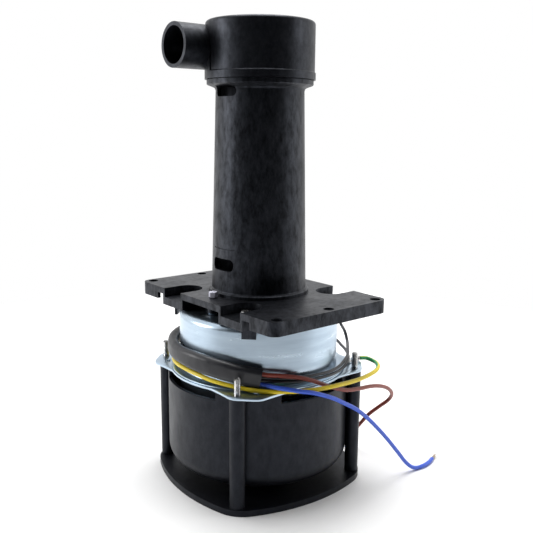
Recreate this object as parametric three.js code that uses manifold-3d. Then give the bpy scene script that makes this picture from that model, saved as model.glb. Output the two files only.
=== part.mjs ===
// A vertical column pump: a capped motor at the foot, a mounting plate on top of the motor,
// a hollow column that carries the long shaft, and a small centrifugal pump head at the top.
// Millimetres, +Z up, origin on the shaft axis at the underside of the motor cap.
// The spout points along -X. Shapes are three.js geometry, joined and cut with manifold-3d.

import * as THREE from "three";
import { mergeVertices } from "three/addons/utils/BufferGeometryUtils.js";
import Module from "manifold-3d";

const wasm = await Module();
wasm.setup();

// ---------- driving dimensions ----------
const RAD = Math.PI / 180;
const ROUND = 36; // segments of the large round parts
const SMALL = 16; // segments of shafts, screws and bearings
const GAP = 0.3; // space between parts that rest on each other

const CAP_BASE = 4; // thickness of the cap's square foot plate
const CAP_RADIUS = 59.2;
const CAP_TOP = 72.6;
const CAP_FLOOR = 11; // underside of the cup
const CAP_WALL = 2.3;
const CAP_EDGE = 12; // round lower edge of the cup
const FOOT_TURN = -5; // the foot plate is turned with the four posts
const BOW_RADIUS = 115; // bowed sides of the foot plate
const BOW_REACH = 60.5;
const CORNER_OFFSET = 32;
const CORNER_RADIUS = BOW_RADIUS - Math.hypot(CORNER_OFFSET - BOW_REACH + BOW_RADIUS, CORNER_OFFSET);

const STUD_CIRCLE = 63.6;
const STUD_ANGLES = [40, 130, 220, 310];
const PIERCED_CIRCLE = 58.9;
const STUD_RADIUS = 2;
const STUD_TOP = 84.7;
const POST_CIRCLE = 63.3;
const POST_WIDE = 5; // half width of a post along the rim
const POST_DEEP = 4.6; // half width of a post along the radius

const CAN_RADIUS = 51.4;
const CAN_WALL = 1.2;
const CAN_TOP = 112;
const CAN_BOTTOM = 17;
const FLANGE_TOP = 74.2; // top of the eared sheet
const FLANGE_SHEET = 1.3;
const LOWER_FLANGE = 57.6; // radius of the eared flange between its ears
const UPPER_FLANGE = 57;
const EAR_REACH = 68.2;

const BEARING_OUTER = 11;
const BEARING_BORE = 4.1;
const BEARING_WIDTH = 7;
const LOWER_BEARING = 9.8;
const UPPER_BEARING = 109.5;
const SHAFT_RADIUS = 4;

const PLATE_TOP = 123.3;
const PLATE_SKIN = 4;
const PLATE_X = 46.5; // half width
const PLATE_Y = 70; // half length
const HOLE_X = 40;
const HOLE_Y = 65;
const HOLE_RADIUS = 3.25;
const POCKET_Y = 31;
const POCKET_HALF = 9.5;
const POCKET_END = 34.5; // centre of the pocket's round inner end
const POCKET_FLOOR = 117.3;
const SKIRT_BOTTOM = 115;
const BOSS_BOTTOM = 114; // underside of the round boss at each hexagon screw

const COLUMN_FOOT = 30.35;
const COLUMN_HEAD = 27.5;
const COLUMN_WALL = 2.8;
const COLUMN_FLANGE = 33;
const COLUMN_TOP = 255.3;

const HEAD_RADIUS = 33.6;
const HEAD_RIM = 34.2;
const HEAD_TOP = 290;
const HEAD_WALL = 3.2;
const SPOUT_Y = 19.4;
const SPOUT_Z = 274.5;
const SPOUT_RADIUS = 13.25;
const SPOUT_BORE = 11;
const SPOUT_END = 50.3;

const WIRE = 1.3; // radius over the insulation
const EARTH = 1.35;
const LEAD = 0.92;

// ---------- geometry tools ----------
// One closed manifold from a three.js geometry, turned the right way out.
function solid(geometry) {
  const bare = geometry.clone();
  bare.deleteAttribute("normal");
  bare.deleteAttribute("uv");
  const merged = mergeVertices(bare, 1e-4);
  const position = merged.getAttribute("position");
  const index = Array.from(merged.index.array);
  const faces = [];
  for (let i = 0; i < index.length; i += 3) {
    const [a, b, c] = index.slice(i, i + 3);
    if (a !== b && b !== c && c !== a) faces.push(a, b, c);
  }
  if (signedVolume(position, faces) < 0) faces.reverse();
  return new wasm.Manifold(
    new wasm.Mesh({
      numProp: 3,
      vertProperties: new Float32Array(position.array),
      triVerts: new Uint32Array(faces),
    }),
  );
}

function signedVolume(position, faces) {
  const [a, b, c] = [new THREE.Vector3(), new THREE.Vector3(), new THREE.Vector3()];
  let volume = 0;
  for (let i = 0; i < faces.length; i += 3) {
    a.fromBufferAttribute(position, faces[i]);
    b.fromBufferAttribute(position, faces[i + 1]);
    c.fromBufferAttribute(position, faces[i + 2]);
    volume += a.dot(b.cross(c)) / 6;
  }
  return volume;
}

function geometryOf(manifold) {
  const { numProp, vertProperties, triVerts } = manifold.getMesh();
  const geometry = new THREE.BufferGeometry();
  const xyz = new Float32Array((vertProperties.length / numProp) * 3);
  for (let i = 0; i < xyz.length / 3; i += 1) {
    for (let k = 0; k < 3; k += 1) xyz[3 * i + k] = vertProperties[numProp * i + k];
  }
  geometry.setAttribute("position", new THREE.BufferAttribute(xyz, 3));
  geometry.setIndex(new THREE.BufferAttribute(new Uint32Array(triVerts), 1));
  geometry.computeVertexNormals();
  return geometry;
}

// A turned solid about Z from [radius, height] points.
// The profile starts and ends on the axis, or it is closed here.
function turned(points, segments = ROUND) {
  const profile = points.map(([r, z]) => new THREE.Vector2(r, z));
  const onAxis = points[0][0] === 0 && points.at(-1)[0] === 0;
  if (!onAxis) profile.push(profile[0].clone());
  const geometry = new THREE.LatheGeometry(profile, segments);
  geometry.rotateX(Math.PI / 2);
  return solid(geometry);
}

// Points of a round edge in a profile, from one angle to another in degrees.
function edge(r, z, radius, from, to, steps = 3) {
  return Array.from({ length: steps + 1 }, (_, i) => {
    const angle = (from + ((to - from) * i) / steps) * RAD;
    return [r + radius * Math.cos(angle), z + radius * Math.sin(angle)];
  });
}

function ring(inner, outer, z0, z1, segments = ROUND) {
  return turned([[inner, z0], [outer, z0], [outer, z1], [inner, z1]], segments);
}

function rod(radius, z0, z1, x = 0, y = 0, segments = SMALL) {
  const geometry = new THREE.CylinderGeometry(radius, radius, z1 - z0, segments);
  geometry.rotateX(Math.PI / 2);
  geometry.translate(x, y, (z0 + z1) / 2);
  return solid(geometry);
}

function block(x0, x1, y0, y1, z0, z1) {
  const geometry = new THREE.BoxGeometry(x1 - x0, y1 - y0, z1 - z0);
  geometry.translate((x0 + x1) / 2, (y0 + y1) / 2, (z0 + z1) / 2);
  return solid(geometry);
}

function slab(shape, z0, z1, curveSegments = 3) {
  const options = { depth: z1 - z0, bevelEnabled: false, curveSegments };
  const geometry = new THREE.ExtrudeGeometry(shape, options);
  geometry.translate(0, 0, z0);
  return solid(geometry);
}

function outline(points) {
  return new THREE.Shape(points.map(([x, y]) => new THREE.Vector2(x, y)));
}

function roundedRectangle(halfX, halfY, radius) {
  const shape = new THREE.Shape();
  shape.absarc(halfX - radius, halfY - radius, radius, 0, 90 * RAD);
  shape.absarc(radius - halfX, halfY - radius, radius, 90 * RAD, 180 * RAD);
  shape.absarc(radius - halfX, radius - halfY, radius, 180 * RAD, 270 * RAD);
  shape.absarc(halfX - radius, radius - halfY, radius, 270 * RAD, 360 * RAD);
  return shape;
}

function swept(section, points, steps) {
  const path = new THREE.CatmullRomCurve3(points.map((p) => new THREE.Vector3(...p)));
  const options = { steps, bevelEnabled: false, extrudePath: path, curveSegments: 2 };
  return solid(new THREE.ExtrudeGeometry(section, options));
}

function round(radius, sides) {
  const points = Array.from({ length: sides }, (_, i) => {
    const angle = (2 * Math.PI * i) / sides;
    return [radius * Math.cos(angle), radius * Math.sin(angle)];
  });
  return outline(points);
}

function polar(angle, radius) {
  return [radius * Math.cos(angle * RAD), radius * Math.sin(angle * RAD)];
}

const turnedBy = (part, angle) => part.rotate([0, 0, angle]);
const joined = (parts) => parts.reduce((all, part) => all.add(part));
const quarters = [0, 90, 180, 270];
const signs = [[1, 1], [-1, 1], [-1, -1], [1, -1]];

const model = new THREE.Group();

function place(name, part, color, roughness, metalness) {
  const material = new THREE.MeshStandardMaterial({ color, roughness, metalness });
  const mesh = new THREE.Mesh(geometryOf(part), material);
  mesh.name = name;
  model.add(mesh);
}

const blackPlastic = (name, part) => place(name, part, "#26272b", 0.5, 0);
const zincSheet = (name, part) => place(name, part, "#c9d6dd", 0.35, 0.9);
const brightSteel = (name, part) => place(name, part, "#c8c9cc", 0.3, 1);

// ---------- motor cap: foot plate, cup with a vented rim, four posts ----------
function footPlate() {
  const start = Math.atan2(CORNER_OFFSET, CORNER_OFFSET - BOW_REACH + BOW_RADIUS);
  const shape = new THREE.Shape();
  quarters.forEach((turn) => {
    const [bx, by] = polar(turn, BOW_REACH - BOW_RADIUS);
    shape.absarc(bx, by, BOW_RADIUS, turn * RAD - start, turn * RAD + start);
    const [cx, cy] = polar(turn + 45, CORNER_OFFSET * Math.SQRT2);
    shape.absarc(cx, cy, CORNER_RADIUS, turn * RAD + start, (turn + 90) * RAD - start);
  });
  return turnedBy(slab(shape, 0, CAP_BASE, 4), FOOT_TURN);
}

function motorCap() {
  const hub = 20;
  const well = 16;
  const inside = CAP_RADIUS - CAP_WALL;
  const cup = turned([
    [hub, 2.4],
    [hub, CAP_FLOOR],
    ...edge(CAP_RADIUS - CAP_EDGE, CAP_FLOOR + CAP_EDGE, CAP_EDGE, -90, 0),
    [CAP_RADIUS, CAP_TOP],
    [inside, CAP_TOP],
    ...edge(CAP_RADIUS - CAP_EDGE, CAP_FLOOR + CAP_EDGE, CAP_EDGE - CAP_WALL, 0, -90),
    [well, CAP_FLOOR + CAP_WALL],
    [well, 2.4],
  ]);
  let cap = footPlate().add(cup).subtract(rod(well, 2.4, CAP_FLOOR + 5, 0, 0, ROUND));
  STUD_ANGLES.forEach((angle) => {
    const post = rod(1, CAP_BASE / 2, CAP_TOP).scale([POST_DEEP, POST_WIDE, 1]);
    cap = cap.add(turnedBy(post.translate([POST_CIRCLE, 0, 0]), angle));
  });
  STUD_ANGLES.forEach((angle) => {
    const [x, y] = polar(angle, STUD_CIRCLE);
    cap = cap.subtract(rod(STUD_RADIUS + 0.2, 39, CAP_TOP + 1, x, y));
  });
  const half = 25.5;
  const far = CAP_RADIUS + 3;
  quarters.forEach((turn) => {
    const wedge = outline([
      polar(turn - half, 54),
      polar(turn - half, far / Math.cos(half * RAD)),
      polar(turn + half, far / Math.cos(half * RAD)),
      polar(turn + half, 54),
    ]);
    cap = cap.subtract(slab(wedge, CAP_TOP - 5, CAP_TOP + 1));
  });
  return cap;
}
blackPlastic("motor_cap", motorCap());

// ---------- motor shell: two deep-drawn halves, the lower one with four ears ----------
function eyeHoles(top) {
  const holes = STUD_ANGLES.map((angle) => {
    const [x, y] = polar(angle, STUD_CIRCLE);
    return rod(STUD_RADIUS + 0.25, top - 5, top + 2, x, y);
  });
  STUD_ANGLES.forEach((angle) => {
    const [x, y] = polar(angle + 10, PIERCED_CIRCLE);
    holes.push(rod(1.9, top - 5, top + 2, x, y, 16));
  });
  return joined(holes);
}

function ears(z0, z1) {
  const half = [[44, 31], [56.3, 20], [63.6, 12.7], [67.4, 8.6], [EAR_REACH, 6]];
  const points = [...half.map(([r, t]) => [r, -t]), ...half.map(([r, t]) => [r, t]).reverse()];
  const ear = slab(outline(points), z0, z1);
  return joined(quarters.map((turn) => turnedBy(ear, turn + 45)));
}

function lowerShell() {
  const inner = CAN_RADIUS - CAN_WALL;
  const corner = 5;
  const pocket = BEARING_OUTER + 0.1;
  const bottom = LOWER_BEARING - GAP - CAN_WALL;
  const body = turned([
    [0, bottom],
    [pocket + CAN_WALL, bottom],
    [pocket + CAN_WALL, CAN_BOTTOM],
    ...edge(CAN_RADIUS - corner, CAN_BOTTOM + corner, corner, -90, 0),
    [CAN_RADIUS, FLANGE_TOP - FLANGE_SHEET],
    [LOWER_FLANGE, FLANGE_TOP - FLANGE_SHEET],
    [LOWER_FLANGE, FLANGE_TOP],
    [inner, FLANGE_TOP],
    ...edge(CAN_RADIUS - corner, CAN_BOTTOM + corner, corner - CAN_WALL, 0, -90),
    [pocket, CAN_BOTTOM + CAN_WALL],
    [pocket, bottom + CAN_WALL],
    [0, bottom + CAN_WALL],
  ]);
  const sheet = ears(FLANGE_TOP - FLANGE_SHEET, FLANGE_TOP);
  const flange = sheet.subtract(rod(inner + 0.6, 60, 80, 0, 0, ROUND));
  return body.add(flange).subtract(eyeHoles(FLANGE_TOP));
}
zincSheet("lower_motor_shell", lowerShell());

const POCKET_SCREWS = signs.map(([x, y]) => [33 * x, 29 * y]);
const HEX_SCREWS = [[-36.3, 0], [36.3, 0]];
const EYELET = polar(STUD_ANGLES[3] + 10, PIERCED_CIRCLE);
const SIDE_EXIT = [51, 21.6, 86];
const TOP_EXIT = [38.4, -8.2];

function upperShell() {
  const inner = CAN_RADIUS - CAN_WALL;
  const corner = 4;
  const pocket = BEARING_OUTER + 0.1;
  const top = UPPER_BEARING + BEARING_WIDTH + GAP + CAN_WALL;
  const flange = FLANGE_TOP + GAP;
  const body = turned([
    [inner, flange],
    [UPPER_FLANGE, flange],
    [UPPER_FLANGE, flange + 0.8],
    [CAN_RADIUS, flange + 0.8],
    ...edge(CAN_RADIUS - corner, CAN_TOP - corner, corner, 0, 90),
    [pocket + CAN_WALL, CAN_TOP],
    [pocket + CAN_WALL, top],
    [6, top],
    [6, top - CAN_WALL],
    [pocket, top - CAN_WALL],
    [pocket, CAN_TOP - CAN_WALL],
    ...edge(CAN_RADIUS - corner, CAN_TOP - corner, corner - CAN_WALL, 90, 0),
  ]);
  const holes = [...POCKET_SCREWS, ...HEX_SCREWS].map(([x, y]) => rod(2.2, 100, 120, x, y, 12));
  holes.push(rod(2.6, 100, 120, ...TOP_EXIT, 16));
  holes.push(rod(3.5, 70, 80, ...EYELET)); // clears the earth terminal
  return body.subtract(joined(holes)).subtract(sideHole(4.2, 12));
}

// A round hole, or plug, along the radius through the middle of the lead exit.
function sideHole(radius, length) {
  const angle = Math.atan2(SIDE_EXIT[1], SIDE_EXIT[0]) / RAD;
  const plug = rod(radius, -length / 2, length / 2, 0, 0, 12).rotate([0, 90, 0]);
  return turnedBy(plug.translate([CAN_RADIUS, 0, SIDE_EXIT[2]]), angle);
}
zincSheet("upper_motor_shell", upperShell());

// ---------- stator and windings ----------
function statorCore() {
  const slots = 12;
  const teeth = Array.from({ length: slots }, (_, i) => {
    const angle = (360 / slots) * i;
    const slot = block(27, 40, -4.2, 4.2, 40, 90);
    return turnedBy(slot, angle);
  });
  return ring(28.7, CAN_RADIUS - CAN_WALL - GAP, 48, 80).subtract(joined(teeth));
}
place("stator_core", statorCore(), "#6d7076", 0.5, 0.8);

function winding(z0, z1) {
  const [a, b, r] = [30.5, 46.5, 5];
  return turned([
    ...edge(b - r, z1 - r, r, 0, 90, 2),
    ...edge(a + r, z1 - r, r, 90, 180, 2),
    ...edge(a + r, z0 + r, r, 180, 270, 2),
    ...edge(b - r, z0 + r, r, 270, 360, 2),
  ], 24);
}
place("upper_winding", winding(80.4, 101), "#a5552b", 0.4, 0.6);
place("lower_winding", winding(27, 47.6), "#a5552b", 0.4, 0.6);

// ---------- rotor, shaft and bearings ----------
const rotor = turned([
  [5.1, 47], [22, 47], [22, 42], [27.5, 42], [28, 48],
  [28, 80], [27.5, 86], [22, 86], [22, 81], [5.1, 81],
], 24);
place("rotor_core", rotor, "#8c8f94", 0.45, 0.8);

const shaft = turned([
  [0, LOWER_BEARING],
  [SHAFT_RADIUS, LOWER_BEARING],
  [SHAFT_RADIUS, LOWER_BEARING + BEARING_WIDTH + 0.2],
  [5, LOWER_BEARING + BEARING_WIDTH + 0.2],
  [5, UPPER_BEARING - 0.2],
  [SHAFT_RADIUS, UPPER_BEARING - 0.2],
  [SHAFT_RADIUS, 276],
  [2.9, 276],
  [2.9, 283],
  [0, 283],
], SMALL);
brightSteel("motor_shaft", shaft);

function bearing(name, z0) {
  const z1 = z0 + BEARING_WIDTH;
  const middle = (z0 + z1) / 2;
  const outerRace = turned([
    [9.2, z0], [BEARING_OUTER, z0], [BEARING_OUTER, z1], [9.2, z1],
    [9.2, middle + 1.3], [9.8, middle + 0.7], [9.8, middle - 0.7], [9.2, middle - 1.3],
  ], 20);
  const innerRace = turned([
    [BEARING_BORE, z0], [5.9, z0], [5.9, middle - 1.3], [5.3, middle - 0.7],
    [5.3, middle + 0.7], [5.9, middle + 1.3], [5.9, z1], [BEARING_BORE, z1],
  ], 20);
  const balls = Array.from({ length: 7 }, (_, i) => {
    const geometry = new THREE.SphereGeometry(1.9, 6, 4);
    geometry.translate(...polar((360 / 7) * i, 7.55), middle);
    return solid(geometry);
  });
  const cage = ring(6.4, 8.7, middle - 0.7, middle + 0.7, 14);
  brightSteel(`${name}_bearing_outer_race`, outerRace);
  brightSteel(`${name}_bearing_inner_race`, innerRace);
  brightSteel(`${name}_bearing_balls`, joined([cage, ...balls]));
}
bearing("lower", LOWER_BEARING);
bearing("upper", UPPER_BEARING);

const washer = ring(8.2, 10.6, 108.4, 109.2, 24);
brightSteel("preload_washer", washer);

const slinger = turned([[4.1, 119], [7.5, 119], [12.5, 120.4], [12.5, 121.2], [7.5, 121.2], [6.5, 124], [4.1, 124]], 20);
place("shaft_slinger", slinger, "#1c1c1e", 0.7, 0);

// ---------- pump column: mounting plate and hollow column in one moulding ----------
function stadium(half, from, to, y) {
  const shape = new THREE.Shape();
  shape.moveTo(to, y + half);
  shape.lineTo(to, y - half);
  shape.absarc(from, y, half, -90 * RAD, -270 * RAD, true);
  return shape;
}

function mountingPlate() {
  const skin = PLATE_TOP - PLATE_SKIN;
  const wall = 2.2;
  let plate = slab(roundedRectangle(PLATE_X, PLATE_Y, 6), SKIRT_BOTTOM, PLATE_TOP);
  plate = plate.subtract(slab(roundedRectangle(PLATE_X - wall, PLATE_Y - wall, 4), 100, skin));
  plate = plate.subtract(block(-60, 60, -49, 49, 100, skin));
  [-15, 15].forEach((x) => {
    plate = plate.add(block(x - 1, x + 1, 40, PLATE_Y - 1, SKIRT_BOTTOM, skin + 1));
    plate = plate.add(block(x - 1, x + 1, 1 - PLATE_Y, -40, SKIRT_BOTTOM, skin + 1));
  });
  const pocketBottom = CAN_TOP + GAP;
  signs.forEach(([sx, sy]) => {
    const boss = slab(stadium(POCKET_HALF + 2, POCKET_END, PLATE_X, POCKET_Y), pocketBottom, skin + 1);
    const space = slab(stadium(POCKET_HALF, POCKET_END, PLATE_X + 5, POCKET_Y), POCKET_FLOOR, 130);
    const guide = turnedBy(block(53.1, 54.9, -4.3, 4.3, 105.7, skin + 1), 45);
    [boss, guide].forEach((part) => {
      plate = plate.add(flipped(part, sx, sy));
    });
    plate = plate.subtract(flipped(space, sx, sy));
  });
  [-1, 1].forEach((sy) => {
    [-HOLE_X, 0, HOLE_X].forEach((x) => {
      plate = plate.subtract(rod(HOLE_RADIUS, 100, 130, x, sy * HOLE_Y));
    });
  });
  POCKET_SCREWS.forEach(([x, y]) => {
    plate = plate.subtract(rod(2.2, 100, 130, x, y, 12));
  });
  HEX_SCREWS.forEach(([x, y]) => {
    plate = plate.add(rod(3.7, BOSS_BOTTOM, skin + 1, x, y));
    plate = plate.subtract(rod(1.8, 100, 130, x, y, 12));
  });
  return plate;
}

function flipped(part, sx, sy) {
  let result = part;
  if (sx < 0) result = result.mirror([1, 0, 0]);
  if (sy < 0) result = result.mirror([0, 1, 0]);
  return result;
}

// A round-ended slot through the column wall on both X sides.
function columnSlots(z0, z1, half) {
  const radius = 3;
  const shape = new THREE.Shape();
  shape.absarc(half - radius, (z1 - z0) / 2 - radius, radius, 0, 90 * RAD);
  shape.absarc(radius - half, (z1 - z0) / 2 - radius, radius, 90 * RAD, 180 * RAD);
  shape.absarc(radius - half, radius - (z1 - z0) / 2, radius, 180 * RAD, 270 * RAD);
  shape.absarc(half - radius, radius - (z1 - z0) / 2, radius, 270 * RAD, 360 * RAD);
  const cutter = slab(shape, -60, 60, 3).rotate([90, 0, 90]);
  return cutter.translate([0, 0, (z0 + z1) / 2]);
}

function pumpColumn() {
  const inner = COLUMN_FOOT - COLUMN_WALL;
  const tube = turned([
    [inner, CAN_TOP + 1.3],
    [COLUMN_FOOT, CAN_TOP + 1.3],
    [COLUMN_FOOT, PLATE_TOP - 1],
    [32.2, PLATE_TOP - 1],
    [32.2, PLATE_TOP + 2],
    [31.7, PLATE_TOP + 2.5],
    [COLUMN_FOOT, PLATE_TOP + 2.5],
    [COLUMN_HEAD, 249],
    [COLUMN_HEAD + 1.5, 251],
    [COLUMN_FLANGE - 0.5, 252.3],
    [COLUMN_FLANGE, 252.8],
    [COLUMN_FLANGE, COLUMN_TOP],
    [30.1, COLUMN_TOP],
    [30.1, COLUMN_TOP + 3.5],
    [28.3, COLUMN_TOP + 3.5],
    [28.3, COLUMN_TOP],
    [7, COLUMN_TOP],
    [7, COLUMN_TOP - 3],
    [COLUMN_HEAD - COLUMN_WALL, COLUMN_TOP - 3],
    [COLUMN_HEAD - COLUMN_WALL, 249],
    [inner, PLATE_TOP],
  ]);
  const opening = rod(inner, 100, PLATE_TOP + 0.5, 0, 0, ROUND);
  const body = mountingPlate().subtract(opening).add(tube);
  return body.subtract(columnSlots(245.1, 251.5, 9.6)).subtract(columnSlots(139.5, 147, 9.8));
}
blackPlastic("pump_column", pumpColumn());

// ---------- pump head: volute housing with a tangential spout ----------
function pumpHead() {
  const bottom = COLUMN_TOP + GAP;
  const chamber = HEAD_RADIUS - HEAD_WALL;
  const round = 2;
  const body = turned([
    [0, bottom],
    [HEAD_RIM, bottom],
    [HEAD_RIM, 260],
    [HEAD_RADIUS, 260.4],
    ...edge(HEAD_RADIUS - round, HEAD_TOP - round, round, 0, 90, 2),
    [0, HEAD_TOP],
  ]);
  const pipe = (radius, from, to) => {
    const tube = rod(radius, from, to, 0, 0, 32).rotate([0, -90, 0]);
    return tube.translate([0, SPOUT_Y, SPOUT_Z]);
  };
  const pad = ring(HEAD_RADIUS - 1, HEAD_RIM, 259, SPOUT_Z)
    .intersect(block(-40, 0, SPOUT_Y - SPOUT_RADIUS, 40, 250, 290));
  return body
    .add(pipe(SPOUT_RADIUS, 5, SPOUT_END))
    .add(pad)
    .subtract(rod(chamber, bottom - 1, HEAD_TOP - 3.5, 0, 0, ROUND))
    .subtract(pipe(SPOUT_BORE, 8, SPOUT_END + 1))
    .subtract(rod(SPOUT_BORE, HEAD_TOP - 10, HEAD_TOP + 1, 0, 0, 32));
}
blackPlastic("pump_head", pumpHead());

// ---------- impeller and its nut ----------
function impeller() {
  const vanes = Array.from({ length: 6 }, (_, i) => {
    const points = [];
    for (let k = 0; k <= 5; k += 1) points.push(polar(-9 * k, 7 + 3.5 * k));
    for (let k = 5; k >= 0; k -= 1) points.push(polar(-9 * k + 70 / (7 + 3.5 * k), 7 + 3.5 * k));
    return turnedBy(slab(outline(points), 262, 282), 60 * i);
  });
  const hub = turned([[4.1, 260], [25, 260], [25, 262.4], [8, 264], [7.5, 275.6], [4.1, 275.6]], 24);
  return joined([hub, ...vanes]).subtract(rod(4.1, 255, 290));
}
blackPlastic("impeller", impeller());

const nut = slab(round(4.6, 6), 276.2, 280.2).subtract(rod(3, 270, 290));
brightSteel("impeller_nut", nut);

// ---------- fasteners ----------
STUD_ANGLES.forEach((angle, i) => {
  const [x, y] = polar(angle, STUD_CIRCLE);
  const slot = block(x - 3, x + 3, y - 0.5, y + 0.5, STUD_TOP - 1, STUD_TOP + 1);
  brightSteel(`shell_stud_${i + 1}`, rod(STUD_RADIUS, 40, STUD_TOP, x, y, 20).subtract(slot));
});

POCKET_SCREWS.forEach(([x, y], i) => {
  const seat = POCKET_FLOOR + GAP;
  const head = turned([[0, seat], [3.6, seat], [3.6, seat + 1.5], [2.6, seat + 2.4], [0, seat + 2.4]], 12);
  const shank = rod(1.9, 105, seat + 0.5, 0, 0, 12);
  brightSteel(`pocket_screw_${i + 1}`, head.add(shank).translate([x, y, 0]));
});

HEX_SCREWS.forEach(([x, y], i) => {
  const seat = PLATE_TOP + GAP;
  const head = slab(round(2.9, 6), seat, seat + 3.3).add(rod(1.5, 106, seat + 1, 0, 0, 16));
  brightSteel(`hex_screw_${i + 1}`, turnedBy(head, 12).translate([x, y, 0]));
  const spacer = ring(1.8, 3.2, CAN_TOP + GAP, BOSS_BOTTOM - GAP, 16);
  zincSheet(`plate_spacer_${i + 1}`, spacer.translate([x, y, 0]));
});

// ---------- lead exits ----------
const grommet = sideHole(6, 3.4).add(sideHole(3.9, 6)).subtract(sideHole(3.3, 20));
const lipGap = rod(CAN_RADIUS + GAP, 60, 100, 0, 0, ROUND).subtract(rod(40, 60, 100));
const outerLip = grommet.subtract(lipGap);
const neck = sideHole(3.9, 5).subtract(sideHole(3.3, 20));
place("side_grommet", outerLip.add(neck), "#1c1c1e", 0.7, 0);

const topGrommet = turned([
  [1.4, CAN_TOP - 3], [2.3, CAN_TOP - 3], [2.3, CAN_TOP + GAP],
  [3.8, CAN_TOP + GAP], [3.8, CAN_TOP + 1.4], [1.9, CAN_TOP + 1.4],
], 16);
place("top_grommet", topGrommet.translate([...TOP_EXIT, 0]), "#1c1c1e", 0.7, 0);

// ---------- sleeve round the motor shell ----------
const SLEEVE_ROUTE = [
  [-33.9, -44.6, 82.2], [-42.2, -36.8, 84.3], [-49, -27.2, 86.2], [-53.7, -16, 87.5],
  [-55.9, -3.2, 88.3], [-54.6, 12.6, 88.4], [-48.9, 27.3, 88.5], [-38.7, 40.5, 88.5],
  [-25.1, 50.1, 88.3], [-10.6, 55, 87.4], [4.1, 55.8, 86.3], [16.5, 53.5, 85.2],
];

function sleeve() {
  const wall = 0.7;
  const section = sleeveOval(12.2, 6.8);
  section.holes.push(sleeveOval(12.2 - 2 * wall, 6.8 - 2 * wall));
  return swept(section, SLEEVE_ROUTE, 22);
}

function sleeveOval(height, width) {
  const radius = width / 2;
  const shape = new THREE.Shape();
  shape.absarc(height / 2 - radius, 0, radius, -90 * RAD, 90 * RAD);
  shape.absarc(radius - height / 2, 0, radius, 90 * RAD, 270 * RAD);
  return shape;
}
place("lead_sleeve", sleeve(), "#3a3838", 0.45, 0);

// ---------- wires: each route is chosen by hand ----------
const BLUE_ROUTE = [
  [-39.7, -39.5, 80.1], [-33.2, -45.5, 78.6], [-29.9, -52.5, 78.3], [-24.9, -58.7, 77.6],
  [-18.8, -62.8, 76.3], [-11, -65.6, 74.3], [1.2, -68, 69.3], [11.6, -68.7, 63.4],
  [21.6, -69.1, 57.3], [32.5, -68.9, 48.6], [42.3, -69.2, 39.2], [52.3, -69.6, 28.7],
  [63.3, -69.5, 16.5], [70.6, -70.3, 7.8], [75.8, -71.4, 3.2], [80.5, -72.3, 1.5],
  [85.7, -73.1, 1.5], [93.2, -72.2, 1.5], [99.5, -70.2, 1.5],
];
const BROWN_ROUTE = [
  [-39.7, -39.5, 87.1], [-33.2, -45.4, 85], [-24, -51.6, 83.8], [-12.8, -56.1, 81.4],
  [-4.7, -58.6, 78.3], [4, -60.7, 74.1], [11.1, -61.8, 71], [19.3, -62.1, 68.1],
  [31.4, -61.6, 66], [44, -60.2, 64.3], [56.8, -57.8, 60.8], [67.8, -55.1, 55.7],
  [75.9, -51.4, 49], [78.9, -46.1, 42.4], [76.9, -39.3, 35.6], [73.9, -33, 28.8],
  [72.9, -27, 20.9], [72.3, -18.8, 11], [72.1, -9.6, 4.2], [70.4, -0.5, 1.6],
  [67.7, 8.8, 1.5], [64.3, 17.3, 1.5],
];
const EARTH_ROUTE = [
  [54.8, -40, 76], [60.3, -41.3, 75.1], [63.2, -45.6, 73.4], [58.9, -53, 73.3],
  [52.2, -57.9, 73.2], [43.4, -61.1, 73.2], [28.2, -64.2, 73.5], [10.4, -65.2, 74.4],
  [-3.8, -63.3, 74.5], [-14.8, -60.5, 75], [-26.8, -54.9, 75.6], [-35.9, -47.8, 75.8],
  [-43.2, -38.1, 76.7], [-46.6, -33.3, 77.3], [-52.8, -20.1, 78.8], [-54.8, -9.3, 79.8],
  [-55.5, 1.5, 80.3], [-53.6, 14.4, 79.9], [-48.4, 27.2, 78.8], [-38.9, 39.6, 77.8],
  [-27.3, 48.3, 77.3], [-14.4, 53.6, 77.2], [-0.9, 55.4, 77.2],
];
const UPPER_LEAD_ROUTE = [
  [-39.6, -39.4, 84.5], [-32.5, -44.4, 82.7], [-19.7, -51.0, 81.2], [-6.8, -54.4, 80.4],
  [7.4, -54.8, 79.7], [15.6, -53.8, 79.4], [24.7, -50.9, 79.5], [34.4, -46, 80.2],
  [43.1, -40.2, 81], [48.8, -34.6, 83], [52.8, -30, 86.4], [54.2, -26.1, 91.8],
  [55.1, -21.6, 95.4], [54, -16.6, 104], [51, -13.8, 111.5], [46.2, -11.2, 115.6],
  [41, -9.2, 116.4], [38.8, -8.3, 114.4], [38.4, -8.2, 111.5],
];
const LOWER_LEAD_ROUTE = [
  [-39.6, -39.4, 82.3], [-32.6, -44.6, 80.7], [-19.7, -51.1, 79.1], [-6.8, -54.5, 78.2],
  [7.4, -55.1, 77.5], [15.7, -54.2, 77.2], [25, -51.5, 77.2], [35, -46.8, 77.8],
  [44.9, -39.2, 78.4], [52.4, -29.7, 79.2], [56.9, -20.5, 80.1], [59.1, -14.5, 81.3],
  [60, -5, 82.6], [60, 5, 84.2], [57.4, 15, 85.5], [49.5, 21, 86],
];

// The last stretch of a route is bare, frayed copper.
const BLUE_END = [[99.8, -70.1, 1.5], [103.6, -68.6, 1.4], [107.7, -66.9, 1.5]];
const BROWN_END = [[64.2, 17.6, 1.5], [62.4, 21.2, 1.4], [60.2, 24.8, 1.5]];
const EARTH_END = [[-0.6, 55.4, 77.2], [3.5, 55.3, 77.2], [7.6, 54.9, 77.2]];

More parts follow.
